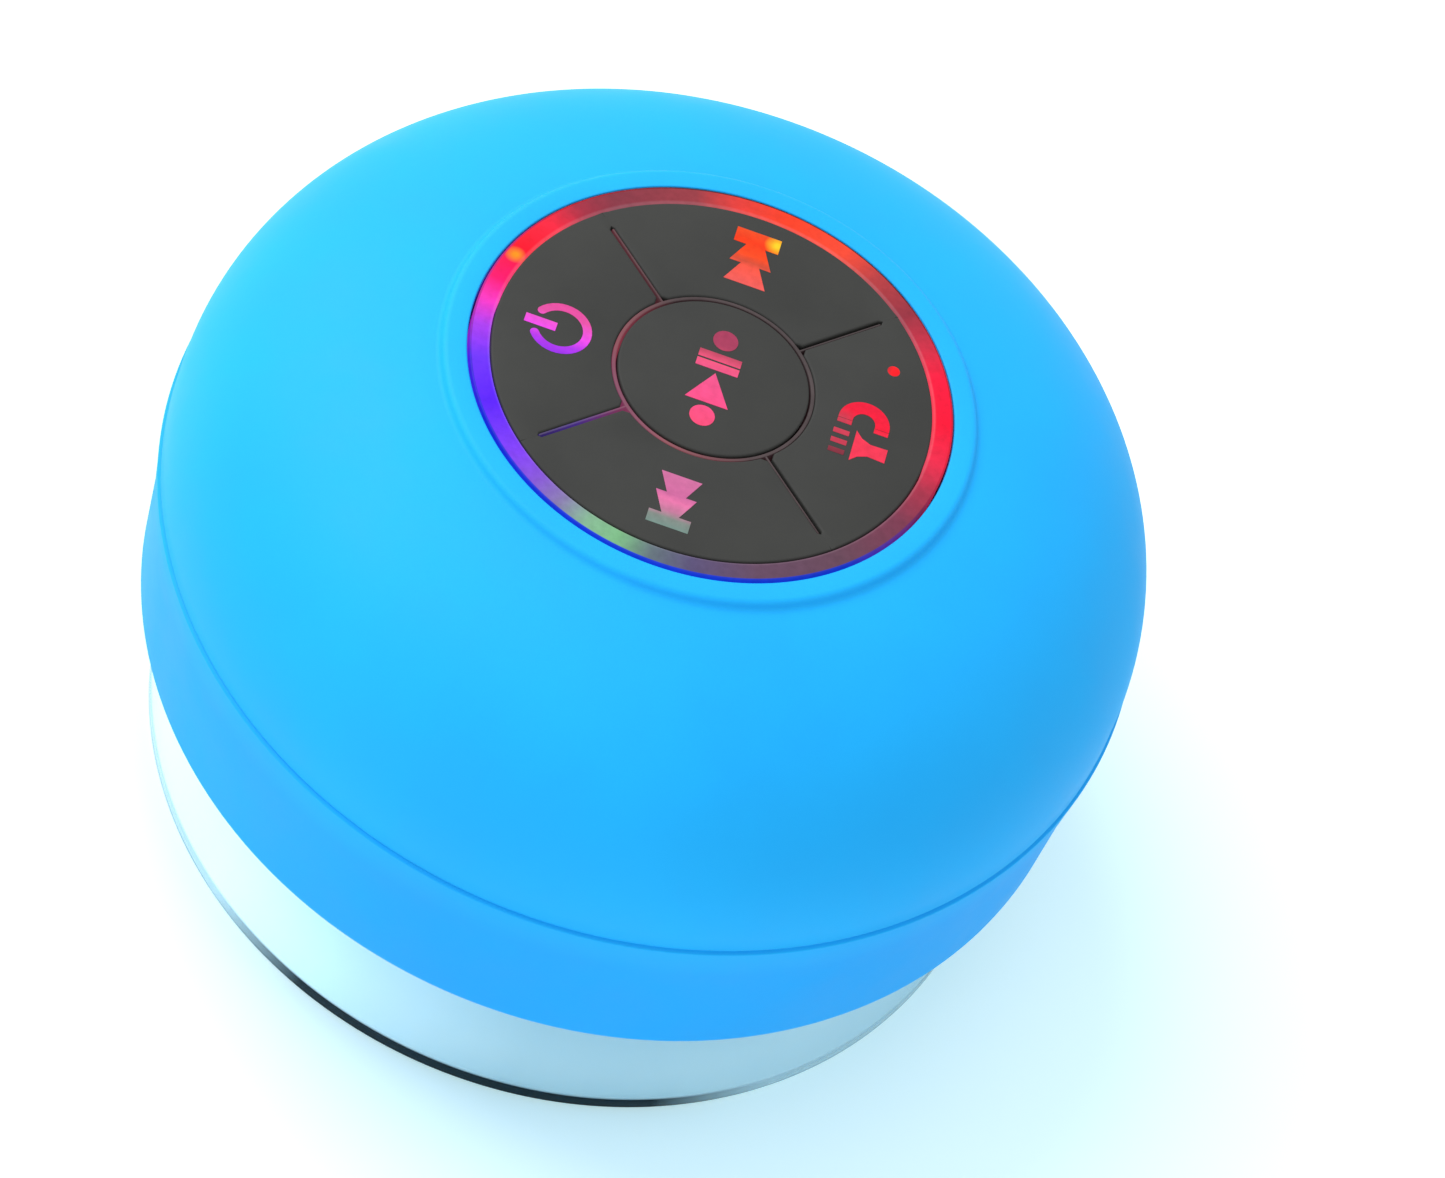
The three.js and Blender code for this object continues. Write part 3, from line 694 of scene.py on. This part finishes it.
COPPER = moulded("enamelled_copper", (160, 88, 44), (204, 128, 72), 0.3, 4000, 0.03, metallic=1.0)
SPIDER = woven("spider_cloth", (150, 112, 56), (206, 166, 96), 0.5)
MESH_CLOTH = woven("grille_cloth", (12, 12, 13), (52, 52, 54), 0.45)
FOAM = moulded("foam", (44, 44, 46), (66, 66, 68), 0.95, 1400, 0.15)
FOIL = moulded("battery_foil", (170, 172, 176), (206, 208, 212), 0.35, 700, 0.05, metallic=0.9)
RED_WIRE = moulded("red_wire", (166, 20, 20), (192, 32, 30), 0.4)
BLACK_WIRE = moulded("black_wire", (16, 16, 18), (28, 28, 30), 0.4)

SLOT_MATERIALS = {
    "blue_silicone": BLUE, "key_rubber": KEY, "web_rubber": WEB, "ring_diffuser": RING,
    "indicator_lens": RING, "shell_plastic": SHELL, "clear_silicone": CLEAR,
    "black_rubber": RUBBER, "board_laminate": BOARD, "steel": STEEL, "black_plastic": PLASTIC,
    "led_lens": LED, "ferrite": FERRITE, "cone_paper": PULP, "copper": COPPER,
    "spider_cloth": SPIDER, "grille_cloth": MESH_CLOTH, "foam": FOAM, "battery_foil": FOIL,
    "red_wire": RED_WIRE, "black_wire": BLACK_WIRE,
}


def dress_cad_nodes():
    """Every CAD node that still shows gets its slot's procedural material."""
    for subpart in frame["record"]["subparts"]:
        node = frame["nodes"][subpart["node"]]
        node.data.materials.clear()
        node.data.materials.append(SLOT_MATERIALS[subpart["material_slot"]])


# ---- Sleeve ---------------------------------------------------------------------------------------
def dome_at(turn):
    return Vector((
        DOME_R * max(math.cos(turn), 0.0) ** DOME_POWER_R,
        DOME_BASE_Z + DOME_RISE * max(math.sin(turn), 0.0) ** DOME_POWER_Z,
    ))


def dome_turn(radius):
    return math.acos((radius / DOME_R) ** (1 / DOME_POWER_R))


def dome_points(inset, last_radius, steps):
    """The dome's section from its base in to a radius, moved inwards by inset."""
    last = dome_turn(last_radius)
    points = []
    for k in range(steps + 1):
        turn = max(last * k / steps, 1e-4)
        along = (dome_at(turn + 1e-4) - dome_at(turn - 1e-5)).normalized()
        here = dome_at(turn)
        points.append((here.x - along.y * inset, here.y + along.x * inset))
    return points


def cover_window():
    """The opening for the port's flap, a little larger than the flap."""
    inside_y = 34
    outside_y = 50
    flat = rounded_rectangle(COVER_HALF_WIDTH + COVER_GAP, COVER_BOTTOM_Z - COVER_GAP,
                             COVER_TOP_Z + COVER_GAP, 1.2)
    return upright(prism(flat, inside_y, outside_y))


def make_sleeve():
    foot = [(FOOT_INNER_R, SLEEVE_BOTTOM_Z, 0.3), (FOOT_OUTER_R, SLEEVE_BOTTOM_Z, 1.3)]
    seam = [
        (BODY_R - 0.05, SEAM_Z - 0.1, 0.15), (DOME_R, SEAM_Z, 0.04), (DOME_R + 0.1, SEAM_Z + 0.25, 0.1),
    ]
    dome = dome_points(0, COLLAR_OUTER_R + 1.1, 48)
    collar = [
        (COLLAR_OUTER_R + 0.1, COLLAR_FOOT_Z, 0.6), (COLLAR_OUTER_R - 0.25, COLLAR_Z, 0.6),
        (COLLAR_INNER_R, COLLAR_Z, 0.18), (COLLAR_INNER_R, COLLAR_Z - SLEEVE_WALL),
    ]
    dome_inside = reversed(dome_points(SLEEVE_WALL, COLLAR_OUTER_R + 1.4, 12))
    wall_inside = [
        (SLEEVE_INNER_R, SEAM_Z - 0.6), (SLEEVE_INNER_R, FOOT_TOP_Z), (FOOT_INNER_R, FOOT_TOP_Z),
    ]
    outline = fillet([
        *foot, BAND_MIDDLE, BAND_TOP, *seam, *dome, *collar, *dome_inside, *wall_inside,
    ])
    sleeve = add_mesh("sleeve", *revolve(outline), BLUE)
    cut(sleeve, *cover_window())
    auto_smooth(sleeve)
    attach(sleeve, "housing")
    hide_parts("silicone_sleeve")


# ---- Light ring and keys --------------------------------------------------------------------------
def make_light_ring():
    outline = fillet([
        (RING_INNER_R, RING_BOTTOM_Z), (RING_OUTER_R, RING_BOTTOM_Z),
        (RING_OUTER_R, TOP_Z, 0.1), (RING_INNER_R, TOP_Z, 0.2),
    ])
    ring = add_mesh("lit_ring", *revolve(outline), RING, "housing", "ring_diffuser")
    auto_smooth(ring)
    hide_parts("light_ring")


def side_points(offset, start_r, end_r, steps):
    """Points along a key's straight side at a distance from the 45 degree diagonal."""
    points = []
    for k in range(steps + 1):
        radius = start_r + (end_r - start_r) * k / steps
        angle = math.radians(45) - math.asin(offset / radius)
        points.append((radius * math.cos(angle), radius * math.sin(angle)))
    return points


def bearing(point):
    return math.degrees(math.atan2(point[1], point[0]))


def outer_key_outline():
    """One quarter of the pad, centred on +X, and how much of the edge rounding each point takes.
    The groove beside it narrows to a hairline near the rim, where the edges stay sharp."""
    groove = side_points(GROOVE_HALF, KEY_INNER_R + KEY_CORNER, GROOVE_END_R - 0.2, 10)
    hairline = side_points(HAIRLINE_HALF, GROOVE_END_R + 0.08, KEY_OUTER_R, 3)
    upper = groove + hairline
    shares = [1.0] * len(groove) + [0.0] * (len(hairline) - 1) + [0.4]
    rim = arc((0, 0), KEY_OUTER_R, bearing(upper[-1]), -bearing(upper[-1]), 48)[1:-1]
    inner_angle = bearing(groove[0]) - KEY_CORNER_ANGLE
    inner = arc((0, 0), KEY_INNER_R, -inner_angle, inner_angle, 30)
    lower = [(x, -y) for x, y in reversed(upper)]
    outline = upper + rim + lower + inner
    share = shares + [1.0] * len(rim) + list(reversed(shares)) + [1.0] * len(inner)
    return outline, share


def add_key(name, outline, body, round_at=None):
    plate = prism(outline, KEY_BOTTOM_Z, TOP_Z, KEY_EDGE, round_at)
    key = add_mesh(name, *plate, KEY, body, "key_rubber")
    auto_smooth(key, 35)
    return key


OUTER_KEYS = {"phone": 0, "previous": 90, "power": 180, "next": 270}


def make_keys():
    outline, share = outer_key_outline()
    for name, degrees in OUTER_KEYS.items():
        key = add_key(f"keytop_{name}", turned(outline, degrees), f"{name}_key", share)
        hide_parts(f"key_{name}")
    play = add_key("keytop_play", circle((0, 0), PLAY_KEY_R, 120), "play_key")
    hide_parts("key_play")


def make_web():
    """The web below the keys, with a low rib standing in each groove."""
    rib_foot_z = WEB_TOP_Z - OVERLAP
    disc = revolve([
        (0.0, WEB_BOTTOM_Z), (WEB_R, WEB_BOTTOM_Z), (WEB_R, WEB_TOP_Z), (0.0, WEB_TOP_Z),
    ], closed=False)
    round_rib = revolve(fillet([
        (RIB_CIRCLE_INNER_R, rib_foot_z), (RIB_CIRCLE_OUTER_R, rib_foot_z),
        (RIB_CIRCLE_OUTER_R, RIB_TOP_Z, 0.06), (RIB_CIRCLE_INNER_R, RIB_TOP_Z, 0.12),
    ]))
    rib = rectangle(RIB_CIRCLE_OUTER_R - OVERLAP, GROOVE_END_R - 0.15, -RIB_SIDE, 0.0)
    ribs = [prism(turned(rib, degrees), rib_foot_z, RIB_TOP_Z - 0.03, 0.08)
            for degrees in (45, 135, 225, 315)]
    web = add_mesh("key_web", *join_meshes([disc, round_rib, *ribs]), WEB, "housing", "web_rubber")
    auto_smooth(web)
    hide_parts("keypad_web")


# ---- Icons ----------------------------------------------------------------------------------------
ICON_RISE = 0.03
ICON_SINK = 0.05
ICON_COLOURS = {                 # along Y, from 0 at the low end to 1 at the high end
    "previous": [
        (0.0, (238, 92, 88)), (0.32, (250, 86, 68)), (0.42, (212, 76, 52)), (0.55, (252, 74, 26)),
        (0.8, (250, 58, 12)), (1.0, (240, 76, 30)),
    ],
    "next": [
        (0.0, (118, 144, 136)), (0.16, (130, 140, 134)), (0.3, (196, 122, 156)),
        (0.5, (234, 118, 172)), (0.62, (206, 104, 158)), (1.0, (210, 112, 162)),
    ],
    "power": [
        (0.0, (150, 44, 234)), (0.2, (176, 50, 236)), (0.42, (240, 74, 236)), (0.56, (240, 82, 214)),
        (0.75, (230, 80, 166)), (1.0, (226, 72, 154)),
    ],
    "play": [
        (0.0, (250, 76, 122)), (0.3, (250, 80, 140)), (0.52, (238, 84, 140)), (0.66, (242, 86, 128)),
        (0.74, (196, 70, 100)), (0.84, (170, 60, 94)), (1.0, (168, 58, 92)),
    ],
    "phone": [(0.0, (246, 52, 84)), (0.45, (240, 54, 82)), (0.62, (248, 18, 56)), (1.0, (236, 20, 58))],
    "phone_bars": [
        (0.0, (128, 44, 60)), (0.2, (140, 48, 64)), (0.4, (196, 56, 80)), (1.0, (206, 60, 84)),
    ],
}
PREVIOUS_HOT_SPOT = (1.75, 16.2, 1.2, (255, 206, 34))
PHONE_DIM_SPOT = (11.1, 0.2, 1.5, (200, 58, 80))


def add_icon(name, body, low_y, high_y, outlines, spot=None):
    """Thin raised shapes on a key, lit from below. low_y and high_y are the ends of the colours."""
    material = glow(f"icon_{name}_glow", "Y", low_y, high_y, ICON_COLOURS[name], spot)
    plates = [prism(outline, TOP_Z - ICON_SINK, TOP_Z + ICON_RISE) for outline in outlines]
    add_mesh(f"icon_{name}", *join_meshes(plates), material, body, "ring_diffuser", smooth=False)


def skip_icon(bases, height, half_base, bar, half_bar, direction):
    """Two arrowheads running into a bar, pointing away from the middle of the pad."""
    first, second = bases
    waist = half_base * (first + height - second) / height
    neck = half_base * (second + height - bar[0]) / height
    half = [
        (half_base, first), (waist, second), (half_base, second), (neck, bar[0]),
        (half_bar, bar[0]), (half_bar, bar[1]),
    ]
    outline = half + [(-x, y) for x, y in reversed(half)]
    return [(x, y * direction) for x, y in outline]


def ring_strip(centre, outer, inner, start, end):
    """Part of a ring with round ends."""
    middle = (outer + inner) / 2
    cap = (outer - inner) / 2
    first, = arc(centre, middle, start, start, 0)
    last, = arc(centre, middle, end, end, 0)
    far_cap = arc(last, cap, end, end + 180, 8)
    near_cap = arc(first, cap, start + 180, start + 360, 8)
    return (arc(centre, outer, start, end, 32)[:-1] + far_cap
            + arc(centre, inner, end, start, 32)[1:-1] + near_cap[:-1])


def power_shapes():
    """An open ring with a bar in its gap."""
    y = -0.55
    gap = 33                     # degrees on each side of the bar
    return [
        ring_strip((-13.2, y), 2.65, 1.9, 180 + gap, 540 - gap),
        rectangle(-16.25, -13.55, y - 0.45, y + 0.45),
    ]


def play_shapes():
    """From the previous key to the next: a dot, two pause bars, a play arrow and a dot."""
    dot_r = 1.07
    bar_half = 1.83
    return [
        circle((0, 4.15), dot_r),
        rectangle(-bar_half, bar_half, 1.77, 2.57),
        rectangle(-bar_half, bar_half, 0.77, 1.57),
        [(-1.85, -2.87), (1.85, -2.87), (0, 0.43)],
        circle((0, -4.33), dot_r),
    ]


def phone_shapes():
    """A handset: an arch with two feet, one of them over a flared mouthpiece."""
    centre = (12.9, 0.65)
    foot_top = 0.5
    near, near_inner, far_inner, far = (10.7, 11.93, 13.87, 15.1)
    arch = (arc(centre, 2.2, 0, 180, 24) + [(near, foot_top), (near_inner, foot_top)]
            + arc(centre, 0.97, 180, 0, 20) + [(far_inner, foot_top), (far, foot_top)])
    mouthpiece = [
        (12.5, -0.35), (13.1, -1.0), (13.9, -1.35), (15.4, -1.3),
        (15.4, -2.75), (13.9, -2.65), (13.1, -3.0), (12.5, -3.65),
    ]
    return [
        arch,
        rectangle(near, near_inner, 0.0, 0.44),
        rectangle(far_inner, far, 0.0, 0.44),
        mouthpiece,
    ]


def make_icons():
    add_icon("previous", "previous_key", 10.85, 16.9,
             [skip_icon((10.85, 13.1), 4.0, 1.82, (15.3, 16.9), 1.97, 1)], PREVIOUS_HOT_SPOT)
    add_icon("next", "next_key", -16.6, -11.2,
             [skip_icon((11.2, 13.2), 3.7, 1.72, (15.35, 16.6), 1.78, -1)])
    add_icon("power", "power_key", -3.3, 2.2, power_shapes())
    add_icon("play", "play_key", -5.4, 5.2, play_shapes())
    add_icon("phone", "phone_key", -3.6, 3.1, phone_shapes(), PHONE_DIM_SPOT)
    bars = [rectangle(10.6, 11.98, y - 0.25, y + 0.25) for y in (-1.0, -2.05, -3.1)]
    add_icon("phone_bars", "phone_key", -3.35, -0.75, bars)


def make_indicator():
    """The small red light by the telephone key."""
    x = 14.1
    y = 7.2
    radius = 0.6
    bottom_z = 51.2
    red = glow("indicator_glow", "X", x - radius, x + radius, [
        (0.0, (200, 20, 40)), (0.4, (255, 24, 36)), (1.0, (246, 18, 32)),
    ])
    dome = fillet([(0.0, bottom_z), (radius, bottom_z), (radius, TOP_Z, 0.12), (0.0, TOP_Z + 0.08)])
    lens = add_mesh("indicator", *revolve(dome, 32, closed=False, centre=(x, y)), red,
                    "phone_key", "indicator_lens")
    auto_smooth(lens)
    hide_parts("indicator_lens")


# ---- Suction cup ----------------------------------------------------------------------------------
def make_cup():
    """A wide thin cup, thicker towards the middle, with the stem's neck on top."""
    hollow = [
        (0.0, 8.3), (10, 8.1, 4.0), (18, 7.3, 6.0), (25, 6.0, 8.0), (31, 4.0, 8.0), (CUP_LIP_R, 0, 0.6),
    ]
    outside = [
        (CUP_R, 0, 0.08), (CUP_R, 1.15, 0.16), (36.5, 4.8, 6.0), (32, 8.2, 8.0), (25, 11.2, 8.0),
        (17, 13.1, 6.0), (9.2, 14.0, 1.5),
    ]
    neck = [(CUP_NECK_R, 15.0, 0.5), (CUP_NECK_R, CUP_NECK_TOP_Z, 0.6), (0.0, CUP_NECK_TOP_Z)]
    outline = fillet(hollow + outside + neck)
    cup = add_mesh("cup", *revolve(outline, closed=False), CLEAR, "cup", "clear_silicone")
    auto_smooth(cup, 45)
    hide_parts("suction_cup")


# ---- Back plate and port --------------------------------------------------------------------------
def make_back_plate():
    """The lower shell: a wall, the back plate with its sound slots and the boss for the cup's stem."""
    bore = [
        (0.0, STEM_BORE_TOP_Z), (STEM_BORE_R, STEM_BORE_TOP_Z), (STEM_BORE_R, SNAP_GROOVE_HIGH_Z),
        (SNAP_GROOVE_R, SNAP_GROOVE_HIGH_Z), (SNAP_GROOVE_R, SNAP_GROOVE_LOW_Z),
        (STEM_BORE_R, SNAP_GROOVE_LOW_Z),
    ]
    below = [
        (STEM_BORE_R, PLATE_Z, 0.5), (PLATE_R, PLATE_Z, 0.6), (PLATE_R, SLEEVE_STEP_Z),
        (SHELL_R, SLEEVE_STEP_Z, 0.3),
    ]
    wall = [
        (SHELL_R, SHELL_TOP_Z, 0.2), (SHELL_INNER_R, SHELL_TOP_Z, 0.2),
        (SHELL_INNER_R, PLATE_TOP_Z, 0.8),
    ]
    baffle = [
        (BAFFLE_OUTER_R, PLATE_TOP_Z, 0.4), (BAFFLE_OUTER_R, BOSS_TOP_Z, 0.2),
        (BAFFLE_INNER_R, BOSS_TOP_Z, 0.2), (BAFFLE_INNER_R, PLATE_TOP_Z, 0.4),
    ]
    boss = [(BOSS_R, PLATE_TOP_Z, 0.4), (BOSS_R, BOSS_TOP_Z, 0.3), (0.0, BOSS_TOP_Z)]
    outline = fillet(bore + below + wall + baffle + boss)
    plate = add_mesh("back_plate", *revolve(outline, closed=False), SHELL)
    slot = arc((SLOT_FAR_R, 0), SLOT_HALF, -90, 90, 8) + arc((SLOT_NEAR_R, 0), SLOT_HALF, 90, 270, 8)
    cutters = []
    for k in range(SLOT_COUNT):
        around = 360 * (k + 0.5) / SLOT_COUNT
        cutters.append(prism(turned(slot, around), PLATE_Z - 1, PLATE_TOP_Z + 0.5))
    for place in shell_screw_places():
        cutters.append(prism(circle(place, SCREW_HOLE_R), PLATE_Z - 1, PLATE_TOP_Z + 1))
    cutters.append(box_shape(-PORT_OPENING_HALF_WIDTH, PORT_OPENING_HALF_WIDTH, 36, 42,
                             PORT_Z - PORT_OPENING_HALF_HEIGHT, PORT_Z + PORT_OPENING_HALF_HEIGHT))
    cut(plate, *join_meshes(cutters))
    auto_smooth(plate)
    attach(plate, "housing")
    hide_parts("lower_shell")


def shell_screw_places():
    angles = [math.radians(45 + 90 * k) for k in range(4)]
    return [(SHELL_SCREW_R * math.cos(angle), SHELL_SCREW_R * math.sin(angle)) for angle in angles]


def make_shell_screws():
    """Pan-head screws with a cross recess, seen from below."""
    outline = fillet([
        (0.0, SCREW_LOW_Z), (1.5, SCREW_LOW_Z, 0.5), (SCREW_HEAD_R, 15.35, 0.4),
        (SCREW_HEAD_R, SCREW_HEAD_TOP_Z, 0.1), (SCREW_SHANK_R, SCREW_HEAD_TOP_Z, 0.1),
        (SCREW_SHANK_R, 23.4, 0.2), (0.6, SCREW_HIGH_Z), (0.0, SCREW_HIGH_Z),
    ])
    for number, (x, y) in enumerate(shell_screw_places(), start=1):
        shape = revolve(outline, 48, closed=False, centre=(x, y))
        screw = add_mesh(f"screw_{number}", *shape, STEEL)
        for half_x, half_y in ((CROSS_REACH, CROSS_HALF), (CROSS_HALF, CROSS_REACH)):
            cut(screw, *box_shape(x - half_x, x + half_x, y - half_y, y + half_y,
                                  SCREW_LOW_Z - 0.9, CROSS_TOP_Z))
        auto_smooth(screw)
        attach(screw, "housing")
        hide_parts(f"shell_screw_{number}")


def make_stem_ring():
    """The snap ring that holds the cup's stem in the boss."""
    outline = fillet([
        (SNAP_RING_INNER_R, SNAP_RING_LOW_Z, 0.15), (SNAP_RING_R, SNAP_RING_LOW_Z, 0.3),
        (SNAP_RING_R, SNAP_RING_HIGH_Z, 0.3), (SNAP_RING_INNER_R, SNAP_RING_HIGH_Z, 0.15),
    ])
    ring = add_mesh("snap_ring", *revolve(outline, 96), PLASTIC, "swivel_ring", "black_plastic")
    auto_smooth(ring)
    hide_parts("stem_ring")


def socket_outline(half_width, half_height, corner):
    return rounded_rectangle(half_width, PORT_Z - half_height, PORT_Z + half_height, corner)


def make_port():
    """The charging socket: a rolled metal shell with a tongue inside."""
    outside = socket_outline(SOCKET_HALF_WIDTH, SOCKET_HALF_HEIGHT, 0.9)
    inside = socket_outline(SOCKET_HALF_WIDTH - SOCKET_WALL, SOCKET_HALF_HEIGHT - SOCKET_WALL, 0.6)
    shell = upright(prism(outside, SOCKET_BACK_Y, SOCKET_MOUTH_Y, 0.15))
    mouth = upright(prism(inside, SOCKET_BACK_Y + 1, SOCKET_MOUTH_Y + 1))
    socket = add_mesh("port_socket", *shell, STEEL)
    cut(socket, *mouth)
    auto_smooth(socket)
    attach(socket, "housing")
    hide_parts("usb_socket")
    flat = rectangle(-TONGUE_HALF_WIDTH, TONGUE_HALF_WIDTH, PORT_Z + 0.1, PORT_Z + 0.5)
    blade = upright(prism(flat, SOCKET_BACK_Y + 0.9, SOCKET_MOUTH_Y - 0.7, 0.1))
    tongue = add_mesh("port_tongue", *blade, PLASTIC, "housing", "black_plastic")
    auto_smooth(tongue)


def bent_plate(half_width, low, high, corner, inner_r, outer_r, round_by):
    """A rounded rectangle standing on the body's side and bent to its curve."""
    flat = rounded_rectangle(half_width, low, high, corner)
    vertices, faces = prism(flat, inner_r, outer_r, round_by)
    return [(x, math.sqrt(depth * depth - x * x), z) for x, z, depth in vertices], faces


def make_port_cover():
    """The soft flap over the port, with a thumb lip along its top edge."""
    flap = bent_plate(COVER_HALF_WIDTH, COVER_BOTTOM_Z, COVER_TOP_Z, 1.0,
                      COVER_INNER_R, COVER_OUTER_R, 0.15)
    lip = bent_plate(LIP_HALF_WIDTH, COVER_TOP_Z - 1.25, COVER_TOP_Z - 0.35, 0.42,
                     LIP_INNER_R, BODY_R, 0.25)
    cover = add_mesh("port_cover_flap", *join_meshes([flap, lip]), BLUE, "port_cover", "blue_silicone")
    auto_smooth(cover)
    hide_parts("usb_cover")


# ---- Stage, light and camera ----------------------------------------------------------------------
FLOOR_HALF = 3000
FLOOR_Z = -0.02
LAMPS = [                        # name, place in metres, width in metres, watts
    ("key", (-0.55, 0.3, 0.75), 0.8, 7.5),
    ("fill", (-0.4, -0.7, 0.25), 0.6, 0.8),
]
LAMP_TARGET = (0, 0, 0.03)


def make_floor():
    """Pale paper that gives back a little cyan light of its own."""
    material, tree, shader = new_material("floor_paper")
    paper = two_tone(tree, 8, (226, 237, 241), (230, 240, 243))
    tree.links.new(paper, shader.inputs["Base Color"])
    shader.inputs["Roughness"].default_value = 0.6
    shader.inputs["Emission Color"].default_value = (0.44, 1.0, 1.0, 1.0)
    shader.inputs["Emission Strength"].default_value = 0.27
    corners = rectangle(-FLOOR_HALF, FLOOR_HALF, -FLOOR_HALF, FLOOR_HALF)
    vertices = [(x, y, FLOOR_Z) for x, y in corners]
    floor = add_mesh("floor", vertices, [(0, 1, 2, 3)], material, smooth=False)


def add_lamp(name, place, width, watts):
    light = bpy.data.lights.new(name, "AREA")
    light.shape = "DISK"
    light.size = width
    light.energy = watts
    lamp = bpy.data.objects.new(name, light)
    lamp.location = place
    aim = Vector(LAMP_TARGET) - Vector(place)
    lamp.rotation_euler = aim.to_track_quat("-Z", "Y").to_euler()
    scene.collection.objects.link(lamp)


def make_lights():
    world = bpy.data.worlds.new("studio")
    world.use_nodes = True
    sky = world.node_tree.nodes["Background"]
    sky.inputs["Color"].default_value = (1, 1, 1, 1)
    sky.inputs["Strength"].default_value = 0.92
    scene.world = world
    for lamp in LAMPS:
        add_lamp(*lamp)
    scene.view_settings.view_transform = "Standard"


CAMERA_AZIMUTH = -4.5            # degrees from -Y
CAMERA_ELEVATION = 51.29
CAMERA_ROLL = -22.72
CAMERA_DISTANCE = 381.7          # millimetres, along the view
CAMERA_RIGHT = 13.265            # the view's centre from the origin, in the picture plane
CAMERA_UP = 12.683
CAMERA_LENS = 103.6


def make_camera():
    azimuth = math.radians(CAMERA_AZIMUTH)
    elevation = math.radians(CAMERA_ELEVATION)
    roll = math.radians(CAMERA_ROLL)
    back = Vector((
        math.sin(azimuth) * math.cos(elevation),
        -math.cos(azimuth) * math.cos(elevation),
        math.sin(elevation),
    ))
    level = Vector((math.cos(azimuth), math.sin(azimuth), 0))
    raised = back.cross(level)
    right = level * math.cos(roll) - raised * math.sin(roll)
    up = level * math.sin(roll) + raised * math.cos(roll)
    camera = bpy.data.objects.new("camera", bpy.data.cameras.new("camera"))
    camera.data.sensor_width = 36
    camera.data.lens = CAMERA_LENS
    camera.data.clip_start = 0.01
    matrix = camera.matrix_world.to_3x3()
    matrix.col[0] = right
    matrix.col[1] = up
    matrix.col[2] = back
    camera.matrix_world = matrix.to_4x4()
    camera.location = (right * CAMERA_RIGHT + up * CAMERA_UP + back * CAMERA_DISTANCE) * MM
    scene.collection.objects.link(camera)
    scene.camera = camera


make_camera()
dress_cad_nodes()
make_sleeve()
make_light_ring()
make_keys()
make_web()
make_icons()
make_indicator()
make_cup()
make_back_plate()
make_shell_screws()
make_stem_ring()
make_port()
make_port_cover()
make_floor()
make_lights()
